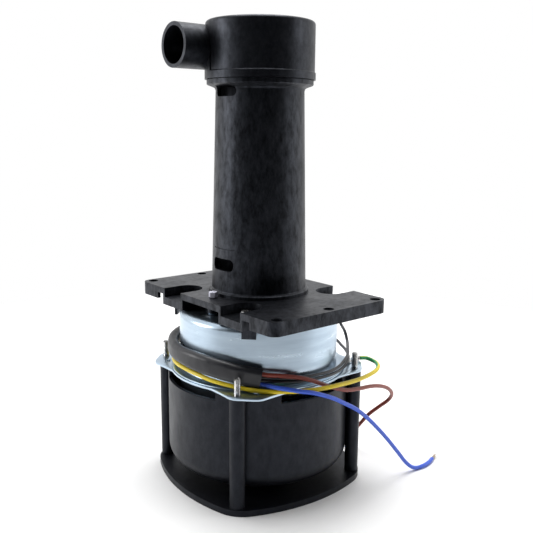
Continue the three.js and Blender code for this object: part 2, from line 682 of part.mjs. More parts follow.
place("blue_wire", swept(round(WIRE, 8), BLUE_ROUTE, 34), "#3c63d8", 0.4, 0);
place("brown_wire", swept(round(WIRE, 8), BROWN_ROUTE, 38), "#8e3a30", 0.4, 0);
place("earth_wire", swept(round(EARTH, 8), EARTH_ROUTE, 46), "#e3c81e", 0.4, 0);
place("upper_grey_lead", swept(round(LEAD, 8), UPPER_LEAD_ROUTE, 38), "#55565a", 0.5, 0);
place("lower_grey_lead", swept(round(LEAD, 8), LOWER_LEAD_ROUTE, 36), "#55565a", 0.5, 0);
place("blue_wire_strands", swept(round(0.8, 8), BLUE_END, 4), "#b9b6ae", 0.3, 0.9);
place("brown_wire_strands", swept(round(0.8, 8), BROWN_END, 4), "#b9b6ae", 0.3, 0.9);
place("earth_wire_strands", swept(round(0.8, 8), EARTH_END, 4), "#b9b6ae", 0.3, 0.9);

// ---------- earth terminal on the right ear ----------
function eyelet() {
  const z0 = FLANGE_TOP + GAP;
  const barrel = rod(1.7, -2.4, 2.4, 0, 0, 12).subtract(rod(1.2, -3, 3, 0, 0, 12));
  const tongue = block(2, 4.9, -1.2, 1.2, z0, z0 + 0.8);
  const eye = ring(1.75, 3.1, z0, z0 + 0.8, SMALL);
  const along = barrel.rotate([0, 90, 0]).translate([6.9, 0, z0 + 1.5]);
  return turnedBy(joined([eye, tongue, along]), -12).translate([...EYELET, 0]);
}
brightSteel("earth_eyelet", eyelet());

const rivetTop = FLANGE_TOP + GAP + 0.8;
const rivet = turned([
  [0, FLANGE_TOP - FLANGE_SHEET], [1.6, FLANGE_TOP - FLANGE_SHEET],
  [1.6, rivetTop + 0.2], [2.8, rivetTop + 0.2], [2.4, rivetTop + 1], [0, rivetTop + 1],
], SMALL);
brightSteel("earth_rivet", rivet.translate([...EYELET, 0]));

export default model;
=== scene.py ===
import math

import bmesh
import bpy
from mathutils import Matrix, Vector


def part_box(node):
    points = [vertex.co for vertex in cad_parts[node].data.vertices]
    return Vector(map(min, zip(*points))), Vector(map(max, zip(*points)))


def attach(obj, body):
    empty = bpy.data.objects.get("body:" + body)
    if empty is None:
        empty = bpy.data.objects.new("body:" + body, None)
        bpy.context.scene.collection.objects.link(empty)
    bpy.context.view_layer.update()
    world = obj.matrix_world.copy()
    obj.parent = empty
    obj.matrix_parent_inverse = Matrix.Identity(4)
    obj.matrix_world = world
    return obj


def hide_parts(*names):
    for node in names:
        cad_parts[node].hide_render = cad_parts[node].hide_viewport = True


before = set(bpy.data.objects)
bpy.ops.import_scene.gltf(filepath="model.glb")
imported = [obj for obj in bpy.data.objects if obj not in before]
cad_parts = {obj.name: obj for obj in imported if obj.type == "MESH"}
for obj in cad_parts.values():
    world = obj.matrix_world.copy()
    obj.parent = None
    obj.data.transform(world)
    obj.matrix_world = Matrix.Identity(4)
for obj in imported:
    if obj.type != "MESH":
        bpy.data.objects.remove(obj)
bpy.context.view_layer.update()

# Camera: a normal lens 46 cm from the pump's shaft, at the height of the column's upper half,
# looking slightly down on the plate.
CAMERA_PLACE = (-0.29141, -0.35851, 0.22802)
CAMERA_HEADING = -39.716
CAMERA_TILT = 79.040
CAMERA_ROLL = 0.512
LENS_LENGTH = 49.08
SENSOR_WIDTH = 36
camera = bpy.data.objects.new("camera", bpy.data.cameras.new("camera"))
bpy.context.collection.objects.link(camera)
camera.data.sensor_width = SENSOR_WIDTH
camera.data.lens = LENS_LENGTH
camera.data.clip_start = 0.01
camera.matrix_world = (
    Matrix.Translation(CAMERA_PLACE)
    @ Matrix.Rotation(math.radians(CAMERA_HEADING), 4, "Z")
    @ Matrix.Rotation(math.radians(CAMERA_TILT), 4, "X")
    @ Matrix.Rotation(math.radians(CAMERA_ROLL), 4, "Z")
)
bpy.context.scene.camera = camera


# The three free wires: stranded copper in soft PVC, 2.6 mm over the insulation.
# They leave the sleeve or the earth eyelet, droop by their own weight and end stripped.
MM = 0.001


def metres(points):
    return [tuple(value * MM for value in point) for point in points]


BLUE_ROUTE = metres([
    (-39.7, -39.5, 80.1), (-33.2, -45.5, 78.6), (-29.9, -52.5, 78.3), (-24.9, -58.7, 77.6),
    (-18.8, -62.8, 76.3), (-11, -65.6, 74.3), (1.2, -68, 69.3), (11.6, -68.7, 63.4),
    (21.6, -69.1, 57.3), (32.5, -68.9, 48.6), (42.3, -69.2, 39.2), (52.3, -69.6, 28.7),
    (63.3, -69.5, 16.5), (70.6, -70.3, 7.8), (75.8, -71.4, 3.2), (80.5, -72.3, 1.5),
    (85.7, -73.1, 1.5), (93.2, -72.2, 1.5), (99.5, -70.2, 1.5),
])
BROWN_ROUTE = metres([
    (-39.7, -39.5, 87.1), (-33.2, -45.4, 85), (-24, -51.6, 83.8), (-12.8, -56.1, 81.4),
    (-4.7, -58.6, 78.3), (4, -60.7, 74.1), (11.1, -61.8, 71), (19.3, -62.1, 68.1),
    (31.4, -61.6, 66), (44, -60.2, 64.3), (56.8, -57.8, 60.8), (67.8, -55.1, 55.7),
    (75.9, -51.4, 49), (78.9, -46.1, 42.4), (76.9, -39.3, 35.6), (73.9, -33, 28.8),
    (72.9, -27, 20.9), (72.3, -18.8, 11), (72.1, -9.6, 4.2), (70.4, -0.5, 1.6),
    (67.7, 8.8, 1.5), (64.3, 17.3, 1.5),
])
EARTH_ROUTE = metres([
    (54.8, -40, 76), (60.3, -41.3, 75.1), (63.2, -45.6, 73.4), (58.9, -53, 73.3),
    (52.2, -57.9, 73.2), (43.4, -61.1, 73.2), (28.2, -64.2, 73.5), (10.4, -65.2, 74.4),
    (-3.8, -63.3, 74.5), (-14.8, -60.5, 75), (-26.8, -54.9, 75.6), (-35.9, -47.8, 75.8),
    (-43.2, -38.1, 76.7), (-46.6, -33.3, 77.3), (-52.8, -20.1, 78.8), (-54.8, -9.3, 79.8),
    (-55.5, 1.5, 80.3), (-53.6, 14.4, 79.9), (-48.4, 27.2, 78.8), (-38.9, 39.6, 77.8),
    (-27.3, 48.3, 77.3), (-14.4, 53.6, 77.2), (-0.9, 55.4, 77.2),
])
WIRE_RADIUS = 1.3 * MM
EARTH_RADIUS = 1.35 * MM
STRIPPED = 8.2 * MM


def along(points, steps_each=8):
    """A smooth line through the points, as close centripetal Catmull-Rom steps."""
    shortest = 1e-6
    points = [Vector(p) for p in points]
    ends = [2 * points[0] - points[1]] + points + [2 * points[-1] - points[-2]]
    line = []
    for a, b, c, d in zip(ends, ends[1:], ends[2:], ends[3:]):
        t0 = 0.0
        t1 = t0 + max((b - a).length, shortest) ** 0.5
        t2 = t1 + max((c - b).length, shortest) ** 0.5
        t3 = t2 + max((d - c).length, shortest) ** 0.5
        for k in range(steps_each):
            t = t1 + (t2 - t1) * k / steps_each
            ab = a.lerp(b, (t - t0) / (t1 - t0))
            bc = b.lerp(c, (t - t1) / (t2 - t1))
            cd = c.lerp(d, (t - t2) / (t3 - t2))
            abc = ab.lerp(bc, (t - t0) / (t2 - t0))
            bcd = bc.lerp(cd, (t - t1) / (t3 - t1))
            line.append(abc.lerp(bcd, (t - t1) / (t2 - t1)))
    line.append(points[-1])
    return line


def swept(mesh, line, section, closed_ends=True):
    """Sweeps section(share) -> [(sideways, up), ...] along line, with a UV map:
    U runs round the section and V along the line in metres."""
    up = Vector((0, 0, 1))
    uv = mesh.loops.layers.uv.get("UVMap") or mesh.loops.layers.uv.new("UVMap")
    rings = []
    distance = [0.0]
    for a, b in zip(line, line[1:]):
        distance.append(distance[-1] + (b - a).length)
    side = None
    for i, here in enumerate(line):
        ahead = (line[min(i + 1, len(line) - 1)] - line[max(i - 1, 0)]).normalized()
        if side is None:
            side = ahead.cross(up).normalized()
        side = (side - ahead * side.dot(ahead)).normalized()
        over = side.cross(ahead)
        shape = section(distance[i] / distance[-1])
        rings.append([mesh.verts.new(here + side * s + over * u) for s, u in shape])
    count = len(rings[0])
    for i in range(len(rings) - 1):
        for k in range(count):
            n = (k + 1) % count
            face = mesh.faces.new((rings[i][k], rings[i][n], rings[i + 1][n], rings[i + 1][k]))
            face.smooth = True
            corners = ((k, i), (k + 1, i), (k + 1, i + 1), (k, i + 1))
            for loop, (across, row) in zip(face.loops, corners):
                loop[uv].uv = (across / count, distance[row])
    if closed_ends:
        mesh.faces.new(rings[0])
        mesh.faces.new(rings[-1][::-1])
    return rings


def disc(radius, sides=16):
    ring = [2 * math.pi * k / sides for k in range(sides)]
    return [(radius * math.cos(a), radius * math.sin(a)) for a in ring]


def as_object(mesh, name, material=None):
    """Turns a bmesh into an object at the origin, with its faces turned outwards."""
    bmesh.ops.recalc_face_normals(mesh, faces=mesh.faces)
    data = bpy.data.meshes.new(name)
    mesh.to_mesh(data)
    mesh.free()
    piece = bpy.data.objects.new(name, data)
    bpy.context.collection.objects.link(piece)
    if material:
        data.materials.append(material)
    return piece


def colour(code):
    """A six-digit sRGB hex code as linear red, green, blue and alpha."""
    parts = [int(code[i:i + 2], 16) / 255 for i in (0, 2, 4)]
    linear = [c / 12.92 if c <= 0.04045 else ((c + 0.055) / 1.055) ** 2.4 for c in parts]
    return (*linear, 1.0)


def add_node(material, kind, inputs=None, **settings):
    """Adds a node, sets its properties, and links or sets its inputs by name or number."""
    node = material.node_tree.nodes.new(kind)
    for key, value in settings.items():
        setattr(node, key, value)
    for key, value in (inputs or {}).items():
        if isinstance(value, bpy.types.NodeSocket):
            material.node_tree.links.new(value, node.inputs[key])
        else:
            node.inputs[key].default_value = value
    return node


def new_material(name, base, roughness, metallic=0.0, ior=1.5, **more):
    """A material with its Principled shader set; returns the material and the shader."""
    material = bpy.data.materials.new(name)
    material.use_nodes = True
    shader = material.node_tree.nodes["Principled BSDF"]
    shader.inputs["Base Color"].default_value = colour(base)
    shader.inputs["Roughness"].default_value = roughness
    shader.inputs["Metallic"].default_value = metallic
    shader.inputs["IOR"].default_value = ior
    for key, value in more.items():
        shader.inputs[key.replace("_", " ")].default_value = value
    return material, shader


def link(material, output, target):
    material.node_tree.links.new(output, target)


def mottle(material, shader, light, dark, size, roughness=None, stretch=(1, 1, 1), detail=4.0):
    """Slow change of colour, and of roughness between two values, in patches of about size."""
    place = add_node(material, "ShaderNodeTexCoord").outputs["Object"]
    place = add_node(material, "ShaderNodeMapping", {"Vector": place, "Scale": stretch}).outputs[0]
    spots = add_node(material, "ShaderNodeTexNoise",
                     {"Vector": place, "Scale": 1 / size, "Detail": detail, "Roughness": 0.6})
    mix = add_node(material, "ShaderNodeMix", {
        0: spots.outputs["Fac"], 6: colour(light), 7: colour(dark)}, data_type="RGBA")
    link(material, mix.outputs[2], shader.inputs["Base Color"])
    if roughness:
        spread = add_node(material, "ShaderNodeMapRange", {
            "Value": spots.outputs["Fac"], "From Min": 0.3, "From Max": 0.7,
            "To Min": roughness[0], "To Max": roughness[1]})
        link(material, spread.outputs[0], shader.inputs["Roughness"])
    return place


def grain(material, shader, size, depth, stretch=(1, 1, 1), detail=2.0):
    """Fine relief whose grains are about size across and depth high."""
    place = add_node(material, "ShaderNodeTexCoord").outputs["Object"]
    place = add_node(material, "ShaderNodeMapping", {"Vector": place, "Scale": stretch}).outputs[0]
    bumps = add_node(material, "ShaderNodeTexNoise",
                     {"Vector": place, "Scale": 1 / size, "Detail": detail})
    relief = add_node(material, "ShaderNodeBump",
                      {"Height": bumps.outputs["Fac"], "Distance": depth, "Strength": 1.0})
    link(material, relief.outputs[0], shader.inputs["Normal"])


PVC_IOR = 1.53
PVC_ROUGHNESS = 0.38
STRAND_WAVE = 3 * MM
STRAND_WAVE_DEPTH = 0.06 * MM


def wire_pvc(name, base, shade):
    # Extruded flexible PVC: smooth, slightly waxy, with a faint waviness from the strands inside.
    material, shader = new_material(name, base, PVC_ROUGHNESS, ior=PVC_IOR)
    mottle(material, shader, base, shade, 16.667 * MM, roughness=(0.33, 0.45))
    grain(material, shader, STRAND_WAVE, STRAND_WAVE_DEPTH)
    return material


blue_pvc = wire_pvc("blue_wire_pvc", "3f68e2", "3357c9")
brown_pvc = wire_pvc("brown_wire_pvc", "93402f", "7f3228")


def striped_pvc():
    # Yellow PVC with a green stripe a third of the way round, which twists very slowly.
    yellow, green = "e8ce1c", "2f9a5c"
    turns_a_metre = 0.6
    stripe_start = 0.18
    stripe_share = 0.36
    material, shader = new_material("yellow_green_wire_pvc", yellow, PVC_ROUGHNESS, ior=PVC_IOR)
    uv = add_node(material, "ShaderNodeUVMap", uv_map="UVMap").outputs[0]
    parts = add_node(material, "ShaderNodeSeparateXYZ", {0: uv})
    turn = add_node(material, "ShaderNodeMath",
                    {0: parts.outputs[1], 1: turns_a_metre}, operation="MULTIPLY").outputs[0]
    round_it = add_node(material, "ShaderNodeMath",
                        {0: parts.outputs[0], 1: turn}, operation="ADD").outputs[0]
    shift = add_node(material, "ShaderNodeMath",
                     {0: round_it, 1: stripe_start}, operation="ADD").outputs[0]
    share = add_node(material, "ShaderNodeMath", {0: shift}, operation="FRACT").outputs[0]
    stripe = add_node(material, "ShaderNodeMath",
                      {0: share, 1: stripe_share}, operation="LESS_THAN").outputs[0]
    mix = add_node(material, "ShaderNodeMix", {
        0: stripe, 6: colour(yellow), 7: colour(green)}, data_type="RGBA")
    link(material, mix.outputs[2], shader.inputs["Base Color"])
    grain(material, shader, STRAND_WAVE, STRAND_WAVE_DEPTH)
    return material


earth_pvc = striped_pvc()


def free_wire(name, route, radius, material):
    line = along(route)
    mesh = bmesh.new()
    swept(mesh, line, lambda share: disc(radius))
    piece = as_object(mesh, name + "_insulation", material)
    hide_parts(name)
    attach(piece, "housing")
    return piece, line


def strands():
    # Tinned copper strands: bright, slightly warm metal.
    material, shader = new_material("tinned_copper_strands", "cfc4b2", 0.3, metallic=1.0)
    mottle(material, shader, "d9d2c6", "a98d72", 1.1111 * MM)
    return material


tinned_copper = strands()


def bare_end(name, line, radius, length, count=13):
    """Stripped strands that follow the end of the wire and fray a little: one in the middle,
    five round it, and the rest outside them, each a golden angle on from the last."""
    strand_radius = 0.17 * MM
    lay_clearance = 0.25 * MM
    tucked_in = 0.6 * MM
    golden_angle = 2.4
    ahead = (line[-1] - line[-3]).normalized()
    side = ahead.cross(Vector((0, 0, 1))).normalized()
    over = side.cross(ahead)
    mesh = bmesh.new()
    for k in range(count):
        ring = 0.0 if k == 0 else (0.42 if k < 6 else 0.78)
        angle = golden_angle * k
        outward = side * math.cos(angle) + over * math.sin(angle)
        start = line[-1] - ahead * tucked_in + outward * radius * ring
        fray = 0.30 + 0.25 * math.sin(3.1 * k)
        out = (side * math.cos(angle) + over * math.sin(angle) * 0.6) * radius * fray
        reach = length * (0.86 + 0.14 * math.cos(5 * k))
        bend = side * 0.9 * MM * math.sin(1.7 * k)
        points = [start, start + ahead * reach * 0.5 + out * 0.4, start + ahead * reach + out + bend]
        low = min(p.z for p in points) - lay_clearance
        if low < 0:
            points = [p - Vector((0, 0, low)) for p in points]
        swept(mesh, along(points, 4), lambda share: disc(strand_radius, 6))
    piece = as_object(mesh, name + "_frayed", tinned_copper)
    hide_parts(name)
    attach(piece, "housing")
    return piece


for name, route, radius, material, slot in (
    ("blue_wire", BLUE_ROUTE, WIRE_RADIUS, blue_pvc, "blue_pvc"),
    ("brown_wire", BROWN_ROUTE, WIRE_RADIUS, brown_pvc, "brown_pvc"),
    ("earth_wire", EARTH_ROUTE, EARTH_RADIUS, earth_pvc, "earth_pvc"),
):
    piece, line = free_wire(name, route, radius, material)
    ends = bare_end(name + "_strands", line, radius * 0.72, STRIPPED)


# Motor cap: one injection moulding of glass-filled black plastic, with a bowed square foot plate,
# a cup with a round lower edge and vent windows in its rim, and four posts that take the studs.
FLOW_MARK = 4 * MM
ERODED_GRAIN = 0.5 * MM
ERODED_DEPTH = 0.02 * MM


def glass_filled(name, light, dark, streak, gloss):
    # Glass-filled nylon, moulded: satin black, with flow marks about 4 mm long where fibres lie
    # at the surface and dull it, and a fine eroded skin.
    material, shader = new_material(name, light, 0.42, Specular_Tint=colour("d6def2"))
    place = mottle(material, shader, light, dark, 16.667 * MM, roughness=(0.36, 0.5),
                   stretch=streak, detail=8.0)
    flecks = add_node(material, "ShaderNodeTexNoise",
                      {"Vector": place, "Scale": 1 / FLOW_MARK, "Detail": 8.0, "Roughness": 0.7})
    spread = add_node(material, "ShaderNodeMapRange", {
        "Value": flecks.outputs["Fac"], "From Min": 0.35, "From Max": 0.65,
        "To Min": gloss[0], "To Max": gloss[1]})
    link(material, spread.outputs[0], shader.inputs["Specular IOR Level"])
    grain(material, shader, ERODED_GRAIN, ERODED_DEPTH, detail=3.0)
    return material


cap_plastic = glass_filled("glass_filled_nylon_cap", "0e0f13", "07080b", (1, 1, 0.5), (0.26, 0.4))

ROUND_STEPS = 144
CAP_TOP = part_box("motor_cap")[1].z
CAP_RADIUS = 59.2 * MM
CAP_WALL = 2.3 * MM
CAP_FLOOR = 11 * MM
CAP_EDGE = 12 * MM
CAP_BASE = 4 * MM
CAP_HUB = 20 * MM
CAP_WELL = 16 * MM
UNDERSIDE = 2.4 * MM
FOOT_TURN = -5
BOW_REACH = 60.5 * MM
BOW_RADIUS = 115 * MM
CORNER_OFFSET = 32 * MM
CORNER_RADIUS = BOW_RADIUS - math.hypot(CORNER_OFFSET - BOW_REACH + BOW_RADIUS, CORNER_OFFSET)
STUD_CIRCLE = 63.6 * MM
STUD_ANGLES = (40, 130, 220, 310)
POST_CIRCLE = 63.3 * MM
POST_WIDE = 5 * MM
POST_DEEP = 4.6 * MM
STUD_BORE = 2.2 * MM
STUD_BORE_FOOT = 39 * MM
WINDOW_HALF_ANGLE = 25.5
WINDOW_DEPTH = 5 * MM
WINDOW_INNER = 53 * MM
WINDOW_OUTER = 64 * MM
OVERLAP = 1 * MM  # how far a cutting or joined solid reaches past the face it meets
MERGE = 1e-7


def polar(degrees, radius, height=0.0):
    angle = math.radians(degrees)
    return Vector((radius * math.cos(angle), radius * math.sin(angle), height))


def arc(across, height, radius, start, stop, steps=8):
    """Points of a round edge in a turned profile."""
    turns = [math.radians(start + (stop - start) * k / steps) for k in range(steps + 1)]
    return [(across + radius * math.cos(a), height + radius * math.sin(a)) for a in turns]


def turned(name, profile, steps=ROUND_STEPS, closed=True, centre=(0, 0)):
    """Spins an (across, height) profile about the Z axis through centre."""
    mesh = bmesh.new()
    verts = [mesh.verts.new((r, 0, z)) for r, z in profile]
    edges = [mesh.edges.new(pair) for pair in zip(verts, verts[1:])]
    if closed:
        edges.append(mesh.edges.new((verts[-1], verts[0])))
    bmesh.ops.spin(mesh, geom=verts + edges, cent=(0, 0, 0), axis=(0, 0, 1), angle=2 * math.pi,
                   steps=steps, use_merge=True, use_duplicate=False)
    bmesh.ops.remove_doubles(mesh, verts=mesh.verts, dist=MERGE)
    bmesh.ops.translate(mesh, verts=mesh.verts, vec=(*centre, 0))
    return as_object(mesh, name)


def slab(name, outline, bottom, top):
    """A flat plate of the outline, from one height to another."""
    mesh = bmesh.new()
    face = mesh.faces.new([mesh.verts.new((x, y, bottom)) for x, y in outline])
    raised = bmesh.ops.extrude_face_region(mesh, geom=[face])["geom"]
    verts = [v for v in raised if isinstance(v, bmesh.types.BMVert)]
    bmesh.ops.translate(mesh, verts=verts, vec=(0, 0, top - bottom))
    return as_object(mesh, name)


def rod(name, radius, start, end, steps=48, end_radius=None):
    """A round bar between two points."""
    start, end = Vector(start), Vector(end)
    mesh = bmesh.new()
    turn = (end - start).to_track_quat("Z", "Y").to_matrix().to_4x4()
    place = Matrix.Translation((start + end) / 2) @ turn
    bmesh.ops.create_cone(mesh, cap_ends=True, segments=steps, radius1=radius,
                          radius2=end_radius or radius, depth=(end - start).length, matrix=place)
    return as_object(mesh, name)


def brick(name, low, high):
    mesh = bmesh.new()
    bmesh.ops.create_cube(mesh, size=1)
    size = Vector(high) - Vector(low)
    bmesh.ops.scale(mesh, verts=mesh.verts, vec=size)
    bmesh.ops.translate(mesh, verts=mesh.verts, vec=(Vector(high) + Vector(low)) / 2)
    return as_object(mesh, name)


def turn_mesh(piece, degrees, axis="Z"):
    piece.data.transform(Matrix.Rotation(math.radians(degrees), 4, axis))
    return piece


def combine(piece, operation, *tools):
    """Joins tools to the piece or cuts them out of it, and removes the tools."""
    for tool in tools:
        step = piece.modifiers.new("combine", "BOOLEAN")
        step.operation = operation
        step.solver = "EXACT"
        step.object = tool
        bake(piece)
        bpy.data.objects.remove(tool)
    return piece


def bake(piece):
    """Applies every modifier of the piece."""
    graph = bpy.context.evaluated_depsgraph_get()
    data = bpy.data.meshes.new_from_object(piece.evaluated_get(graph))
    piece.modifiers.clear()
    piece.data = data
    return piece


def soften(piece, width, weighted=True):
    """Rounds the sharp edges a little, then shades the piece smooth between them."""
    sharp_edge = 32
    crumb = 2e-6
    mesh = bmesh.new()
    mesh.from_mesh(piece.data)
    bmesh.ops.remove_doubles(mesh, verts=mesh.verts, dist=crumb)
    bmesh.ops.dissolve_degenerate(mesh, edges=mesh.edges, dist=crumb)
    mesh.to_mesh(piece.data)
    mesh.free()
    edge = piece.modifiers.new("bevel", "BEVEL")
    edge.width = width
    edge.segments = 2
    edge.limit_method = "ANGLE"
    edge.angle_limit = math.radians(sharp_edge)
    edge.use_clamp_overlap = True
    bake(piece)
    smooth(piece, sharp_edge + 8)
    if not weighted:
        return piece
    weigh = piece.modifiers.new("weighted", "WEIGHTED_NORMAL")
    weigh.keep_sharp = True
    weigh.weight = 60
    return bake(piece)


def smooth(piece, angle):
    """Shades the piece smooth, apart from edges that turn by more than angle."""
    mesh = bmesh.new()
    mesh.from_mesh(piece.data)
    for face in mesh.faces:
        face.smooth = True
    for edge in mesh.edges:
        sharp = len(edge.link_faces) == 2 and edge.calc_face_angle(0) > math.radians(angle)
        edge.smooth = not sharp
    mesh.to_mesh(piece.data)
    mesh.free()
    return piece


def finished(piece, material, body, node):
    """Gives a piece its material and slot, hides the CAD part it replaces, and parents it to the body
    it rides on.
    """
    piece.data.materials.clear()
    piece.data.materials.append(material)
    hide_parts(node)
    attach(piece, body)
    return piece


def foot_outline():
    """A square foot with bowed sides and round corners, each tangent to the next."""
    bow_steps, corner_steps = 12, 12
    start = math.degrees(math.atan2(CORNER_OFFSET, CORNER_OFFSET - BOW_REACH + BOW_RADIUS))
    points = []
    for turn in (FOOT_TURN, FOOT_TURN + 90, FOOT_TURN + 180, FOOT_TURN + 270):
        bow = polar(turn, BOW_REACH - BOW_RADIUS)
        corner = polar(turn + 45, CORNER_OFFSET * math.sqrt(2))
        for k in range(bow_steps + 1):
            points.append(bow + polar(turn - start + 2 * start * k / bow_steps, BOW_RADIUS))
        sweep = 90 - 2 * start
        for k in range(1, corner_steps):
            points.append(corner + polar(turn + start + sweep * k / corner_steps, CORNER_RADIUS))
    return [(p.x, p.y) for p in points]


def post(angle):
    """A round-backed post, slightly thinner at its foot, on the rim of the cup."""
    piece = rod("post", POST_WIDE * 0.94, (0, 0, CAP_BASE / 2), (0, 0, CAP_TOP), 48, POST_WIDE)
    piece.data.transform(Matrix.Diagonal((POST_DEEP / POST_WIDE, 1, 1, 1)))
    piece.data.transform(Matrix.Translation((POST_CIRCLE, 0, 0)))
    return turn_mesh(piece, angle)


def motor_cap():
    middle = CAP_RADIUS - CAP_EDGE
    inside = CAP_RADIUS - CAP_WALL
    cup = turned("motor_cap_shell", [
        (CAP_HUB, UNDERSIDE),
        (CAP_HUB, CAP_FLOOR),
        *arc(middle, CAP_FLOOR + CAP_EDGE, CAP_EDGE, -90, 0, 10),
        (CAP_RADIUS, CAP_TOP),
        (inside, CAP_TOP),
        *arc(middle, CAP_FLOOR + CAP_EDGE, CAP_EDGE - CAP_WALL, 0, -90, 10),
        (CAP_WELL, CAP_FLOOR + CAP_WALL),
        (CAP_WELL, UNDERSIDE),
    ])
    base = slab("cap_base", foot_outline(), 0, CAP_BASE)
    combine(cup, "UNION", base)
    well = rod("well", CAP_WELL, (0, 0, UNDERSIDE), (0, 0, 20 * MM), ROUND_STEPS)
    combine(cup, "DIFFERENCE", well)
    for angle in STUD_ANGLES:
        combine(cup, "UNION", post(angle))
    for angle in STUD_ANGLES:
        foot = polar(angle, STUD_CIRCLE, STUD_BORE_FOOT)
        head = polar(angle, STUD_CIRCLE, CAP_TOP + OVERLAP)
        combine(cup, "DIFFERENCE", rod("bore", STUD_BORE, foot, head, 24))
    for quarter in (0, 90, 180, 270):
        start = quarter - WINDOW_HALF_ANGLE
        steps = [start + 2 * WINDOW_HALF_ANGLE * k / 16 for k in range(17)]
        outline = [polar(a, WINDOW_OUTER) for a in steps]
        outline += [polar(a, WINDOW_INNER) for a in steps[::-1]]
        outline = [(p.x, p.y) for p in outline]
        window = slab("window", outline, CAP_TOP - WINDOW_DEPTH, CAP_TOP + OVERLAP)
        combine(cup, "DIFFERENCE", window)
    return soften(cup, 0.45 * MM)


finished(motor_cap(), cap_plastic, "housing", "motor_cap")


# Motor shell: two deep-drawn cups of zinc-plated steel sheet, pressed rim to rim.
# The lower one has a flange with four ears; its sheared edges shine.
def drawn_zinc(name, light, dark):
    # Bright zinc plating on drawn sheet: bluish silver, with soft bands 5.6 mm high of random tone
    # whose darker colour is painted reflection, and faint drawing lines 1.2 mm apart that run round
    # the wall.
    material, shader = new_material(name, light, 0.3, metallic=1.0)
    mottle(material, shader, light, dark, 5.5556 * MM, roughness=(0.24, 0.38),
           stretch=(0.12, 0.12, 1))
    grain(material, shader, 1.2 * MM, 0.0015 * MM, stretch=(0.03, 0.03, 1))
    return material


# The darker colour, 98abbe, is painted reflection: it makes the darker bands round the shells.
zinc = drawn_zinc("zinc_plated_drawn_sheet", "d4e4f0", "98abbe")

CAN_RADIUS = 51.4 * MM
CAN_WALL = 1.2 * MM
CAN_TOP = 112 * MM
CAN_BOTTOM = 17 * MM
FLANGE_TOP = 74.2 * MM
FLANGE_SHEET = 1.3 * MM
LOWER_FLANGE = 57.6 * MM
UPPER_FLANGE = 57 * MM
SEAT_GAP = 0.3 * MM
POCKET_RADIUS = 11.1 * MM
PIERCED_CIRCLE = 58.9 * MM
PIERCED_TURN = 10
PIERCED_RADIUS = 1.9 * MM
EAR_HOLE = 2.25 * MM
EAR_TURNS = (45, 135, 225, 315)
FLANGE_ZONE = (70 * MM, 78 * MM)


def lower_shell():
    inner = CAN_RADIUS - CAN_WALL
    corner = 5 * MM
    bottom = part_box("lower_bearing_outer_race")[0].z - SEAT_GAP - CAN_WALL
    floor = CAN_BOTTOM + corner
    shell = turned("lower_shell", [
        (0, bottom),
        (POCKET_RADIUS + CAN_WALL, bottom),
        (POCKET_RADIUS + CAN_WALL, CAN_BOTTOM),
        *arc(CAN_RADIUS - corner, floor, corner, -90, 0),
        (CAN_RADIUS, FLANGE_TOP - FLANGE_SHEET),
        (LOWER_FLANGE, FLANGE_TOP - FLANGE_SHEET),
        (LOWER_FLANGE, FLANGE_TOP),
        (inner, FLANGE_TOP),
        *arc(CAN_RADIUS - corner, floor, corner - CAN_WALL, 0, -90),
        (POCKET_RADIUS, CAN_BOTTOM + CAN_WALL),
        (POCKET_RADIUS, bottom + CAN_WALL),
        (0, bottom + CAN_WALL),
    ], closed=False)
    half = [(44, 31), (50.8, 25.4), (56.3, 19.6), (60.2, 15.8), (63.4, 12.9), (65.6, 11), (67, 9.3),
            (67.9, 7.2), (68.2, 4.5)]
    ear = [(r * MM, -t * MM) for r, t in half] + [(r * MM, t * MM) for r, t in half[::-1]]
    for turn in EAR_TURNS:
        sheet = slab("ear", ear, FLANGE_TOP - FLANGE_SHEET, FLANGE_TOP)
        turn_mesh(sheet, turn)
        middle = rod("middle", inner + 0.6 * MM, (0, 0, 60 * MM), (0, 0, 80 * MM), ROUND_STEPS)
        combine(sheet, "DIFFERENCE", middle)
        combine(shell, "UNION", sheet)
    for angle in STUD_ANGLES:
        low, high = (polar(angle, STUD_CIRCLE, z) for z in FLANGE_ZONE)
        combine(shell, "DIFFERENCE", rod("stud_hole", EAR_HOLE, low, high, 32))
        low, high = (polar(angle + PIERCED_TURN, PIERCED_CIRCLE, z) for z in FLANGE_ZONE)
        combine(shell, "DIFFERENCE", rod("pierced_hole", PIERCED_RADIUS, low, high, 28))
    return soften(shell, 0.18 * MM, weighted=False)


finished(lower_shell(), zinc, "housing", "lower_motor_shell")

POCKET_SCREWS = [(33 * MM * x, 29 * MM * y) for x, y in ((1, 1), (-1, 1), (-1, -1), (1, -1))]
HEX_SCREWS = [(-36.3 * MM, 0.0), (36.3 * MM, 0.0)]
SIDE_EXIT = Vector((51, 21.6, 86)) * MM
SIDE_EXIT_RADIUS = 4.2 * MM
TOP_EXIT = Vector((38.4, -8.2, 112)) * MM
TOP_EXIT_RADIUS = 2.6 * MM
SCREW_HOLE = 2.2 * MM
TERMINAL_NOTCH = 3.5 * MM
SHAFT_HOLE = 6 * MM
TOP_ZONE = (100 * MM, 120 * MM)


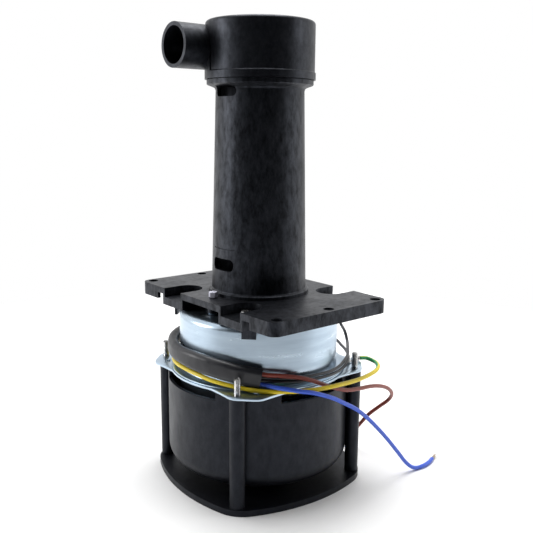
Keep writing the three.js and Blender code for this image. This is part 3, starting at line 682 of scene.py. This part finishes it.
def upper_shell():
    inner = CAN_RADIUS - CAN_WALL
    corner = 4 * MM
    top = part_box("upper_bearing_outer_race")[1].z + SEAT_GAP + CAN_WALL
    flange = FLANGE_TOP + SEAT_GAP
    flange_top = flange + 0.8 * MM
    bend = 0.9 * MM
    shell = turned("upper_shell", [
        (inner, flange),
        (UPPER_FLANGE, flange),
        (UPPER_FLANGE, flange_top),
        *arc(CAN_RADIUS + bend, flange_top + bend, bend, -90, -180, 5),
        *arc(CAN_RADIUS - corner, CAN_TOP - corner, corner, 0, 90, 10),
        (POCKET_RADIUS + CAN_WALL, CAN_TOP),
        (POCKET_RADIUS + CAN_WALL, top),
        (SHAFT_HOLE, top),
        (SHAFT_HOLE, top - CAN_WALL),
        (POCKET_RADIUS, top - CAN_WALL),
        (POCKET_RADIUS, CAN_TOP - CAN_WALL),
        *arc(CAN_RADIUS - corner, CAN_TOP - corner, corner - CAN_WALL, 90, 0, 10),
    ])
    holes = [(x, y, SCREW_HOLE) for x, y in POCKET_SCREWS + HEX_SCREWS]
    holes.append((TOP_EXIT.x, TOP_EXIT.y, TOP_EXIT_RADIUS))
    for x, y, radius in holes:
        low, high = ((x, y, z) for z in TOP_ZONE)
        combine(shell, "DIFFERENCE", rod("hole", radius, low, high, 24))
    terminal = STUD_ANGLES[3] + PIERCED_TURN
    low, high = (polar(terminal, PIERCED_CIRCLE, z) for z in (70 * MM, 80 * MM))
    combine(shell, "DIFFERENCE", rod("notch", TERMINAL_NOTCH, low, high, 32))
    out = Vector((SIDE_EXIT.x, SIDE_EXIT.y, 0)).normalized() * 10 * MM
    side_hole = rod("hole", SIDE_EXIT_RADIUS, SIDE_EXIT - out, SIDE_EXIT + out, 32)
    combine(shell, "DIFFERENCE", side_hole)
    return soften(shell, 0.15 * MM, weighted=False)


finished(upper_shell(), zinc, "housing", "upper_motor_shell")


# Shell studs: M4 plated steel rod with a rolled thread, and a saw slot across the top of each.
# They are screwed into the cap's posts and stand up through the shell's ears.
def plated_steel(name, base, shade, roughness):
    # Bright plated steel, turned or cold headed, with a light grain round the part.
    material, shader = new_material(name, base, roughness, metallic=1.0)
    mottle(material, shader, base, shade, 3.3333 * MM,
           roughness=(roughness - 0.06, roughness + 0.08))
    return material


screw_steel = plated_steel("bright_zinc_screw_steel", "d6d7da", "b4b2ad", 0.28)
stud_low, stud_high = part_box("shell_stud_1")
STUD_RADIUS = 2 * MM
THREAD_PITCH = 0.7 * MM
THREAD_DEPTH = 0.28 * MM
THREAD_RUN_OUT = 0.3 * MM
SAW_HALF = 0.5 * MM
SAW_DEPTH = 1 * MM


def stud(name, angle):
    """A rod cut into 200 rows, whose points are drawn in along the thread's spiral."""
    mesh = bmesh.new()
    rows = 200
    bmesh.ops.create_cone(mesh, cap_ends=True, segments=28, radius1=STUD_RADIUS,
                          radius2=STUD_RADIUS, depth=stud_high.z - stud_low.z)
    sides = [e for e in mesh.edges if abs(e.verts[0].co.z - e.verts[1].co.z) > 0.01]
    bmesh.ops.subdivide_edges(mesh, edges=sides, cuts=rows, use_grid_fill=True)
    half = (stud_high.z - stud_low.z) / 2
    for vert in mesh.verts:
        round_share = math.atan2(vert.co.y, vert.co.x) / (2 * math.pi)
        share = (vert.co.z / THREAD_PITCH - round_share) % 1
        if abs(vert.co.z) > half - THREAD_RUN_OUT:
            depth = THREAD_DEPTH
        else:
            depth = THREAD_DEPTH * abs(2 * share - 1)
        across = math.hypot(vert.co.x, vert.co.y)
        if across > 0:
            vert.co.xy *= (across - depth) / across
    bmesh.ops.translate(mesh, verts=mesh.verts, vec=polar(angle, STUD_CIRCLE, stud_low.z + half))
    piece = as_object(mesh, name)
    x, y, _ = polar(angle, STUD_CIRCLE)
    low = (x - 3 * MM, y - SAW_HALF, stud_high.z - SAW_DEPTH)
    high = (x + 3 * MM, y + SAW_HALF, stud_high.z + OVERLAP)
    combine(piece, "DIFFERENCE", brick("saw_slot", low, high))
    return smooth(piece, 50)


for number, angle in enumerate(STUD_ANGLES, 1):
    name = f"shell_stud_{number}"
    finished(stud(name + "_threaded", angle), screw_steel, "housing", name)


# Pump column: one long moulding of glass-filled black plastic, with the mounting plate at its foot.
# The column is cored right through; the plate has six screw holes and four pockets over the motor.
column_plastic = glass_filled("glass_filled_nylon_column", "0b0c0f", "060709", (1, 1, 0.45),
                              (0.16, 0.8))

PLATE_TOP = 123.3 * MM
PLATE_SKIN = 4 * MM
PLATE_X = 46.5 * MM
PLATE_Y = 70 * MM
PLATE_CORNER = 6 * MM
SKIRT_WALL = 2.2 * MM
SKIRT_BOTTOM = 115 * MM
SKIRT_SPAN = 49 * MM
RIB_X = 15 * MM
RIB_Y = 40 * MM
PLATE_HOLE = 3.25 * MM
PLATE_HOLE_X = 40 * MM
PLATE_HOLE_Y = 65 * MM
TAB_BACK = 53.1 * MM
TAB_FACE = 54.9 * MM
TAB_HALF = 4.3 * MM
TAB_BOTTOM = 105.7 * MM
HEX_BOSS = 3.7 * MM
HEX_HOLE = 1.8 * MM
BOSS_BOTTOM = 114 * MM
POCKET_WALL = 2 * MM
POCKET_FLOOR = 117.3 * MM
POCKET_Y = 31 * MM
POCKET_END = 34.5 * MM
POCKET_HALF = 9.5 * MM
COLUMN_FOOT = 30.35 * MM
COLUMN_HEAD = 27.5 * MM
COLUMN_WALL = 2.8 * MM
COLUMN_FLANGE = 33 * MM
COLUMN_NECK = 249 * MM
COLUMN_TOP = 255.3 * MM
FOOT_BEAD = 32.2 * MM
BEAD_TOP = PLATE_TOP + 2.5 * MM
REGISTER_OUTER = 30.1 * MM
REGISTER_INNER = 28.3 * MM
REGISTER_TOP = COLUMN_TOP + 3.5 * MM
SEAL_BORE = 7 * MM
SEAL_WEB = 3 * MM
SLOT_CORNER = 3 * MM
UPPER_SLOT = (245.1 * MM, 251.5 * MM, 9.6 * MM)
LOWER_SLOT = (139.5 * MM, 147 * MM, 9.8 * MM)
GROOVE_INNER = 29.2 * MM
GROOVE_LOW = 152.9 * MM
GROOVE_HIGH = 153.5 * MM
BELOW_PLATE = 100 * MM
ABOVE_PLATE = 130 * MM


def rounded_rectangle(half_x, half_y, radius):
    points = []
    corners = ((half_x, half_y, 0), (-half_x, half_y, 90),
               (-half_x, -half_y, 180), (half_x, -half_y, 270))
    for x, y, start in corners:
        centre_x = x - math.copysign(radius, x)
        centre_y = y - math.copysign(radius, y)
        points += arc(centre_x, centre_y, radius, start, start + 90)
    return points


def stadium(half, start, end, y):
    """Outline of a slot with a round inner end, open to the plate's edge."""
    round_end = arc(start, y, half, 270, 90, 20)
    return [(end, y + half), (end, y - half)] + round_end


def mirrored(points, sx, sy):
    return [(x * sx, y * sy) for x, y in points]


def plate_hole(x, y, radius, steps):
    return rod("hole", radius, (x, y, BELOW_PLATE), (x, y, ABOVE_PLATE), steps)


def mounting_plate():
    """A plate with a skirt at both ends, ribs, pocket bosses, guide tabs and screw holes."""
    skin = PLATE_TOP - PLATE_SKIN
    joined = skin + OVERLAP
    outline = rounded_rectangle(PLATE_X, PLATE_Y, PLATE_CORNER)
    plate = slab("plate", outline, SKIRT_BOTTOM, PLATE_TOP)
    hollow = rounded_rectangle(PLATE_X - SKIRT_WALL, PLATE_Y - SKIRT_WALL, 4 * MM)
    inside = slab("inside", hollow, BELOW_PLATE, skin)
    span = brick("span", (-60 * MM, -SKIRT_SPAN, BELOW_PLATE), (60 * MM, SKIRT_SPAN, skin))
    combine(plate, "DIFFERENCE", inside, span)
    rib_end = PLATE_Y - OVERLAP
    for x in (-RIB_X, RIB_X):
        for y, far in ((-rib_end, -RIB_Y), (RIB_Y, rib_end)):
            rib = brick("rib", (x - 1 * MM, y, SKIRT_BOTTOM), (x + 1 * MM, far, joined))
            combine(plate, "UNION", rib)
    for sx, sy in ((1, 1), (-1, 1), (-1, -1), (1, -1)):
        boss = stadium(POCKET_HALF + POCKET_WALL, POCKET_END, PLATE_X, POCKET_Y)
        space = stadium(POCKET_HALF, POCKET_END, PLATE_X + 5 * MM, POCKET_Y)
        boss, space = mirrored(boss, sx, sy), mirrored(space, sx, sy)
        combine(plate, "UNION", slab("boss", boss, CAN_TOP + SEAT_GAP, joined))
        tab = brick("tab", (TAB_BACK, -TAB_HALF, TAB_BOTTOM), (TAB_FACE, TAB_HALF, joined))
        turn_mesh(tab, math.degrees(math.atan2(sy, sx)))
        combine(plate, "UNION", tab)
        combine(plate, "DIFFERENCE", slab("space", space, POCKET_FLOOR, ABOVE_PLATE))
    for y in (-PLATE_HOLE_Y, PLATE_HOLE_Y):
        for x in (-PLATE_HOLE_X, 0, PLATE_HOLE_X):
            combine(plate, "DIFFERENCE", plate_hole(x, y, PLATE_HOLE, 40))
    for x, y in POCKET_SCREWS:
        combine(plate, "DIFFERENCE", plate_hole(x, y, SCREW_HOLE, 24))
    for x, y in HEX_SCREWS:
        combine(plate, "UNION", rod("boss", HEX_BOSS, (x, y, BOSS_BOTTOM), (x, y, joined), 40))
        combine(plate, "DIFFERENCE", plate_hole(x, y, HEX_HOLE, 24))
    return plate


def column_slot(bottom, top, half):
    """A round-cornered bar that cuts the wall on both X sides."""
    points = rounded_rectangle(half, (top - bottom) / 2, SLOT_CORNER)
    bar = slab("slot", points, -60 * MM, 60 * MM)
    turn_mesh(bar, 90, "X")
    turn_mesh(bar, 90, "Z")
    bar.data.transform(Matrix.Translation((0, 0, (bottom + top) / 2)))
    return bar


def pump_column():
    """The tapered tube with its bead, flange and register ring, joined to the plate."""
    inner = COLUMN_FOOT - COLUMN_WALL
    neck = COLUMN_HEAD - COLUMN_WALL
    tube = turned("pump_column_moulding", [
        (inner, CAN_TOP + 1.3 * MM),
        (COLUMN_FOOT, CAN_TOP + 1.3 * MM),
        (COLUMN_FOOT, PLATE_TOP - 1 * MM),
        (FOOT_BEAD, PLATE_TOP - 1 * MM),
        (FOOT_BEAD, BEAD_TOP - 0.6 * MM),
        (FOOT_BEAD - 0.6 * MM, BEAD_TOP),
        (COLUMN_FOOT + 0.4 * MM, BEAD_TOP),
        (COLUMN_FOOT, BEAD_TOP + 0.6 * MM),
        (COLUMN_HEAD, COLUMN_NECK),
        (COLUMN_HEAD + 0.5 * MM, 250.4 * MM),
        (COLUMN_HEAD + 1.5 * MM, 251 * MM),
        (COLUMN_FLANGE - 0.5 * MM, 252.3 * MM),
        (COLUMN_FLANGE, 252.8 * MM),
        (COLUMN_FLANGE, COLUMN_TOP),
        (REGISTER_OUTER, COLUMN_TOP),
        (REGISTER_OUTER, REGISTER_TOP),
        (REGISTER_INNER, REGISTER_TOP),
        (REGISTER_INNER, COLUMN_TOP),
        (SEAL_BORE, COLUMN_TOP),
        (SEAL_BORE, COLUMN_TOP - SEAL_WEB),
        (neck, COLUMN_TOP - SEAL_WEB),
        (neck, COLUMN_NECK),
        (inner, PLATE_TOP),
    ])
    plate = mounting_plate()
    opening = rod("opening", inner, (0, 0, BELOW_PLATE), (0, 0, PLATE_TOP + 0.5 * MM), ROUND_STEPS)
    combine(plate, "DIFFERENCE", opening)
    combine(tube, "UNION", plate)
    combine(tube, "DIFFERENCE", column_slot(*UPPER_SLOT))
    combine(tube, "DIFFERENCE", column_slot(*LOWER_SLOT))
    groove = turned("groove", [
        (GROOVE_INNER, GROOVE_LOW), (31 * MM, GROOVE_LOW),
        (31 * MM, GROOVE_HIGH), (GROOVE_INNER, GROOVE_HIGH),
    ])
    mark = brick("mark", (-40 * MM, -11 * MM, 150 * MM), (0, 9 * MM, 156 * MM))
    combine(tube, "DIFFERENCE", combine(groove, "INTERSECT", mark))
    return soften(tube, 0.35 * MM)


finished(pump_column(), column_plastic, "housing", "pump_column")


# Pump head: the volute housing, a black moulding pushed over the column's register ring,
# with a plain spout that leaves on a tangent and an open suction eye in its top.
head_plastic = glass_filled("glass_filled_nylon_head", "0a0b0f", "060709", (1, 1, 0.6),
                            (0.3, 0.68))

head_low, head_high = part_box("pump_head")
HEAD_RADIUS = 33.6 * MM
HEAD_WALL = 3.2 * MM
HEAD_LID = 3.5 * MM
HEAD_RIM = 34.2 * MM
RIM_TOP = 259.8 * MM
SPOUT_Y = 19.4 * MM
SPOUT_Z = 274.5 * MM
SPOUT_RADIUS = 13.25 * MM
SPOUT_BORE = 11 * MM
EYE_RADIUS = 11 * MM


def pump_head():
    """A round box with its spout on a tangent, and a flat pad where the two meet."""
    round_edge = 2 * MM
    top = head_high.z
    body = turned("pump_head_moulding", [
        (0, head_low.z),
        (HEAD_RIM, head_low.z),
        (HEAD_RIM, RIM_TOP),
        (HEAD_RADIUS, RIM_TOP + 0.6 * MM),
        *arc(HEAD_RADIUS - round_edge, top - round_edge, round_edge, 0, 90, 8),
        (0, top),
    ], closed=False)

    def pipe(radius, start, end, steps=96):
        return rod("pipe", radius, (-start, SPOUT_Y, SPOUT_Z), (-end, SPOUT_Y, SPOUT_Z), steps)

    end = -head_low.x
    combine(body, "UNION", pipe(SPOUT_RADIUS, -5 * MM, end))
    inside, pad_low = HEAD_RADIUS - OVERLAP, 259 * MM
    pad = turned("pad", [(inside, pad_low), (HEAD_RIM, pad_low),
                         (HEAD_RIM, SPOUT_Z), (inside, SPOUT_Z)])
    side = brick("side", (-40 * MM, SPOUT_Y - SPOUT_RADIUS, 250 * MM), (0, 40 * MM, 290 * MM))
    combine(body, "UNION", combine(pad, "INTERSECT", side))
    chamber = HEAD_RADIUS - HEAD_WALL
    hollow = rod("chamber", chamber, (0, 0, 250 * MM), (0, 0, top - HEAD_LID), ROUND_STEPS)
    combine(body, "DIFFERENCE", hollow, pipe(SPOUT_BORE, 8 * MM, end + OVERLAP))
    eye = rod("eye", EYE_RADIUS, (0, 0, top - 10 * MM), (0, 0, top + OVERLAP), 72)
    combine(body, "DIFFERENCE", eye)
    return soften(body, 0.35 * MM)


finished(pump_head(), head_plastic, "housing", "pump_head")


# Plate fasteners: zinc-plated steel pan head screws in the pockets, and small hexagon screws
# beside the column foot, each of these with a round spacer tube between the plate and the motor.
PAN_RADIUS = 3.6 * MM
PAN_ROUND = 1.3 * MM
RECESS_ARM = 2 * MM
RECESS_HALF = 0.4 * MM
RECESS_DEPTH = 1.2 * MM


def pan_screw(name, x, y):
    """A low round head with a cross recess, on a plain shank."""
    low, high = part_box(name)
    head = turned("pan_head", [
        (0, POCKET_FLOOR + SEAT_GAP),
        (PAN_RADIUS, POCKET_FLOOR + SEAT_GAP),
        (PAN_RADIUS, high.z - PAN_ROUND),
        *arc(PAN_RADIUS - PAN_ROUND, high.z - PAN_ROUND, PAN_ROUND, 0, 90, 6),
        (0, high.z),
    ], 40, closed=False)
    for turn in (20, 110):
        bar = brick("bar", (-RECESS_ARM, -RECESS_HALF, high.z - RECESS_DEPTH),
                    (RECESS_ARM, RECESS_HALF, high.z + OVERLAP))
        combine(head, "DIFFERENCE", turn_mesh(bar, turn))
    shank = rod("shank", 1.9 * MM, (0, 0, low.z), (0, 0, POCKET_FLOOR + OVERLAP), 24)
    combine(head, "UNION", shank)
    head.data.transform(Matrix.Translation((x, y, 0)))
    head.name = name + "_pan_head"
    return soften(head, 0.1 * MM)


for number, (x, y) in enumerate(POCKET_SCREWS, 1):
    name = f"pocket_screw_{number}"
    finished(pan_screw(name, x, y), screw_steel, "housing", name)


HEXAGON_CORNER = 2.9 * MM
HEXAGON_TURN = 12


def hex_screw(name, x, y):
    """A hexagon head with chamfered corners, on a plain shank."""
    low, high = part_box(name)
    seat = PLATE_TOP + SEAT_GAP
    hexagon = [(p.x, p.y) for p in (polar(60 * k, HEXAGON_CORNER) for k in range(6))]
    head = slab("hexagon", hexagon, seat, high.z)
    dome = turned("dome", [(0, seat - OVERLAP), (3 * MM, seat - OVERLAP), (3 * MM, high.z - 0.5 * MM),
                           (2.4 * MM, high.z), (0, high.z)], 36, closed=False)
    combine(head, "INTERSECT", dome)
    combine(head, "UNION", rod("shank", 1.5 * MM, (0, 0, low.z), (0, 0, seat + OVERLAP), 24))
    turn_mesh(head, HEXAGON_TURN)
    head.data.transform(Matrix.Translation((x, y, 0)))
    head.name = name + "_headed"
    return soften(head, 0.12 * MM)


# Clear-passivated white zinc: a pale satin skin that hides the metal.
white_zinc, _ = new_material("satin_white_zinc_hexagon_screw", "e6e6f6", 0.5, metallic=0.1)
# Dull zinc on cut tube: its colour is darkened to dark grey metal as painted shade from the plate
# above.
zinc_painted_shade, _ = new_material("zinc_spacer_tube_painted_shade", "55606b", 0.5, metallic=1.0)
SPACER_BORE = 1.8 * MM
SPACER_RADIUS = 3.2 * MM
for number, (x, y) in enumerate(HEX_SCREWS, 1):
    name = f"hex_screw_{number}"
    finished(hex_screw(name, x, y), white_zinc, "housing", name)
    spacer = f"plate_spacer_{number}"
    low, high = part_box(spacer)
    profile = [(SPACER_BORE, low.z), (SPACER_RADIUS, low.z),
               (SPACER_RADIUS, high.z), (SPACER_BORE, high.z)]
    tube = turned(spacer + "_tube", profile, 36, centre=(x, y))
    # The spacer's zinc colour is dark grey painted shade.
    finished(soften(tube, 0.1 * MM), zinc_painted_shade, "housing", spacer)


# Lead sleeve: soft black PVC tube pulled flat round the motor shell over the leads inside it,
# open at both ends; the front end is the mouth that the wires leave.
SLEEVE_ROUTE = metres([
    (-33.9, -44.6, 82.2), (-42.2, -36.8, 84.3), (-49, -27.2, 86.2), (-53.7, -16, 87.5),
    (-55.9, -3.2, 88.3), (-54.6, 12.6, 88.4), (-48.9, 27.3, 88.5), (-38.7, 40.5, 88.5),
    (-25.1, 50.1, 88.3), (-10.6, 55, 87.4), (4.1, 55.8, 86.3), (16.5, 53.5, 85.2),
])
SLEEVE_WALL = 0.7 * MM
SLEEVE_HEIGHT = 12.2 * MM
SLEEVE_WIDTH = 6.8 * MM
SLEEVE_WAVE = 0.3 * MM
SLEEVE_FLATTENS = 1.6 * MM


def soft_pvc():
    # Extruded soft PVC: a cool black, waxy, with shallow creases 5 mm apart from bending.
    material, shader = new_material("soft_black_pvc_sleeve", "1d1e23", 0.4, ior=1.52)
    mottle(material, shader, "1a1b20", "222329", 22.222 * MM, roughness=(0.34, 0.46))
    grain(material, shader, 5 * MM, 0.25 * MM, detail=1.0)
    return material


def oval(height, width):
    """A flattened ring: straight flanks between round top and bottom."""
    steps = 20
    radius = width / 2
    reach = height / 2 - radius
    top = [(radius * math.cos(math.pi * k / steps), reach + radius * math.sin(math.pi * k / steps))
           for k in range(steps + 1)]
    return top + [(-s, -u) for s, u in top]


def lead_sleeve():
    """The tube with its wall, a little wavy, and pressed flatter behind the motor."""
    line = along(SLEEVE_ROUTE, 10)
    narrow = 1 - SLEEVE_WALL / (SLEEVE_WIDTH / 2)
    short = 1 - SLEEVE_WALL / (SLEEVE_HEIGHT / 2)

    def outside(share):
        wave = SLEEVE_WAVE * math.sin(21 * share) * min(1, 8 * share)
        flat = SLEEVE_FLATTENS * min(1, max(0, (share - 0.25) / 0.15))
        return oval(SLEEVE_HEIGHT - abs(wave) - flat, SLEEVE_WIDTH + 0.5 * wave)

    def inside(share):
        return [(s * narrow, u * short) for s, u in outside(share)]

    mesh = bmesh.new()
    outer = swept(mesh, line, outside, closed_ends=False)
    inner = swept(mesh, line, inside, closed_ends=False)
    for a, b in ((outer[0], inner[0]), (outer[-1], inner[-1])):
        for k in range(len(a)):
            n = (k + 1) % len(a)
            mesh.faces.new((a[k], a[n], b[n], b[k]))
    return smooth(as_object(mesh, "lead_sleeve_tube"), 60)


finished(lead_sleeve(), soft_pvc(), "housing", "lead_sleeve")


# Grey leads: two thin PVC leads of the thermal cut-out. They run from the sleeve round the shell;
# one climbs to the grommet in the shell's top, the other goes to the grommet in its side.
UPPER_LEAD_ROUTE = metres([
    (-39.6, -39.4, 84.5), (-32.5, -44.4, 82.7), (-19.7, -51.0, 81.2), (-6.8, -54.4, 80.4),
    (7.4, -54.8, 79.7), (15.6, -53.8, 79.4), (24.7, -50.9, 79.5), (34.4, -46, 80.2),
    (43.1, -40.2, 81), (48.8, -34.6, 83), (52.8, -30, 86.4), (54.2, -26.1, 91.8),
    (55.1, -21.6, 95.4), (54, -16.6, 104), (51, -13.8, 111.5), (46.2, -11.2, 115.6),
    (41, -9.2, 116.4), (38.8, -8.3, 114.4), (38.4, -8.2, 111.5),
])
LOWER_LEAD_ROUTE = metres([
    (-39.6, -39.4, 82.3), (-32.6, -44.6, 80.7), (-19.7, -51.1, 79.1), (-6.8, -54.5, 78.2),
    (7.4, -55.1, 77.5), (15.7, -54.2, 77.2), (25, -51.5, 77.2), (35, -46.8, 77.8),
    (44.9, -39.2, 78.4), (52.4, -29.7, 79.2), (56.9, -20.5, 80.1), (59.1, -14.5, 81.3),
    (60, -5, 82.6), (60, 5, 84.2), (57.4, 15, 85.5), (49.5, 21, 86),
])
LEAD_RADIUS = 1 * MM
grey_pvc = wire_pvc("grey_lead_pvc", "3c3c40", "2c2c30")
for name, route in (("upper_grey_lead", UPPER_LEAD_ROUTE), ("lower_grey_lead", LOWER_LEAD_ROUTE)):
    mesh = bmesh.new()
    swept(mesh, along(route), lambda share: disc(LEAD_RADIUS, 12))
    finished(as_object(mesh, name + "_round"), grey_pvc, "housing", name)


# Carried-over CAD parts: the hidden motor parts, bearings, impeller and small fittings keep
# their CAD shape and get the material of the real piece.
def keep_node(name, material):
    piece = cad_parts[name]
    piece.data.materials.clear()
    piece.data.materials.append(material)


# Pressed electrical steel: dull grey metal. Enamelled copper: reddish and glossy.
# Nitrile rubber, moulded: matt black.
lamination, _ = new_material("electrical_steel_laminations", "6d7076", 0.5, metallic=1.0)
copper, _ = new_material("enamelled_copper_wire", "a5552b", 0.35, metallic=1.0)
rubber, _ = new_material("black_nitrile_rubber", "1c1c1e", 0.7, ior=1.52)
for name in ("stator_core", "rotor_core"):
    keep_node(name, lamination)
for name in ("upper_winding", "lower_winding"):
    keep_node(name, copper)
for name in ("shaft_slinger", "side_grommet", "top_grommet"):
    keep_node(name, rubber)
for name in ("motor_shaft", "impeller_nut", "preload_washer", "earth_eyelet", "earth_rivet"):
    keep_node(name, screw_steel)
for side in ("lower", "upper"):
    for part in ("outer_race", "inner_race", "balls"):
        keep_node(f"{side}_bearing_{part}", screw_steel)
keep_node("impeller", head_plastic)


# Studio: a matt white floor under a white surround, with a dark room behind the camera, so that
# black parts keep dark faces between light flanks. Two soft lamps and one from above fill in.
FLOOR_RADIUS = 0.55
mesh = bmesh.new()
bmesh.ops.create_circle(mesh, cap_ends=True, segments=128, radius=FLOOR_RADIUS)
floor_paint, _ = new_material("matt_white_floor", "f6f6f6", 0.9)
floor = as_object(mesh, "floor", floor_paint)

SURROUND_LIGHT = 1.05
DARK_ROOM_LIGHT = 0.01
DARK_ROOM_BEARING = CAMERA_HEADING - 84
DARK_ROOM_EDGE = (0.1, 0.5)
PUMP_MIDDLE = 140 * MM
world = bpy.data.worlds.new("studio")
world.use_nodes = True
sky = world.node_tree.nodes["Background"]
toward = add_node(world, "ShaderNodeTexCoord").outputs["Generated"]
room = polar(DARK_ROOM_BEARING, 1).normalized()
facing = add_node(world, "ShaderNodeVectorMath", {0: toward, 1: room}, operation="DOT_PRODUCT")
dark = add_node(world, "ShaderNodeMapRange", {
    "Value": facing.outputs["Value"], "From Min": DARK_ROOM_EDGE[0], "From Max": DARK_ROOM_EDGE[1],
    "To Min": SURROUND_LIGHT, "To Max": DARK_ROOM_LIGHT}, interpolation_type="SMOOTHSTEP")
seen = add_node(world, "ShaderNodeLightPath").outputs["Is Camera Ray"]
strength = add_node(world, "ShaderNodeMix", {0: seen, 2: dark.outputs[0], 3: 1.0})
sky.inputs[0].default_value = (1, 1, 1, 1)
link(world, strength.outputs[0], sky.inputs[1])
bpy.context.scene.world = world


def lamp(name, bearing, height, distance, size, power):
    """A square soft lamp, at a bearing from the camera's side, aimed at the pump's middle."""
    data = bpy.data.lights.new(name, "AREA")
    data.shape = "SQUARE"
    data.size = size
    data.energy = power
    piece = bpy.data.objects.new(name, data)
    bpy.context.collection.objects.link(piece)
    piece.location = polar(CAMERA_HEADING - 90 + bearing, distance, height)
    aim = Vector((0, 0, PUMP_MIDDLE)) - piece.location
    piece.rotation_euler = aim.to_track_quat("-Z", "Y").to_euler()


lamp("left_softbox", bearing=-85, height=0.45, distance=1.2, size=0.5, power=4.5)
lamp("right_softbox", bearing=90, height=0.45, distance=1.2, size=0.5, power=1.2)
lamp("top_softbox", bearing=180, height=1.5, distance=0.3, size=0.9, power=20)

bpy.context.scene.view_settings.view_transform = "Standard"
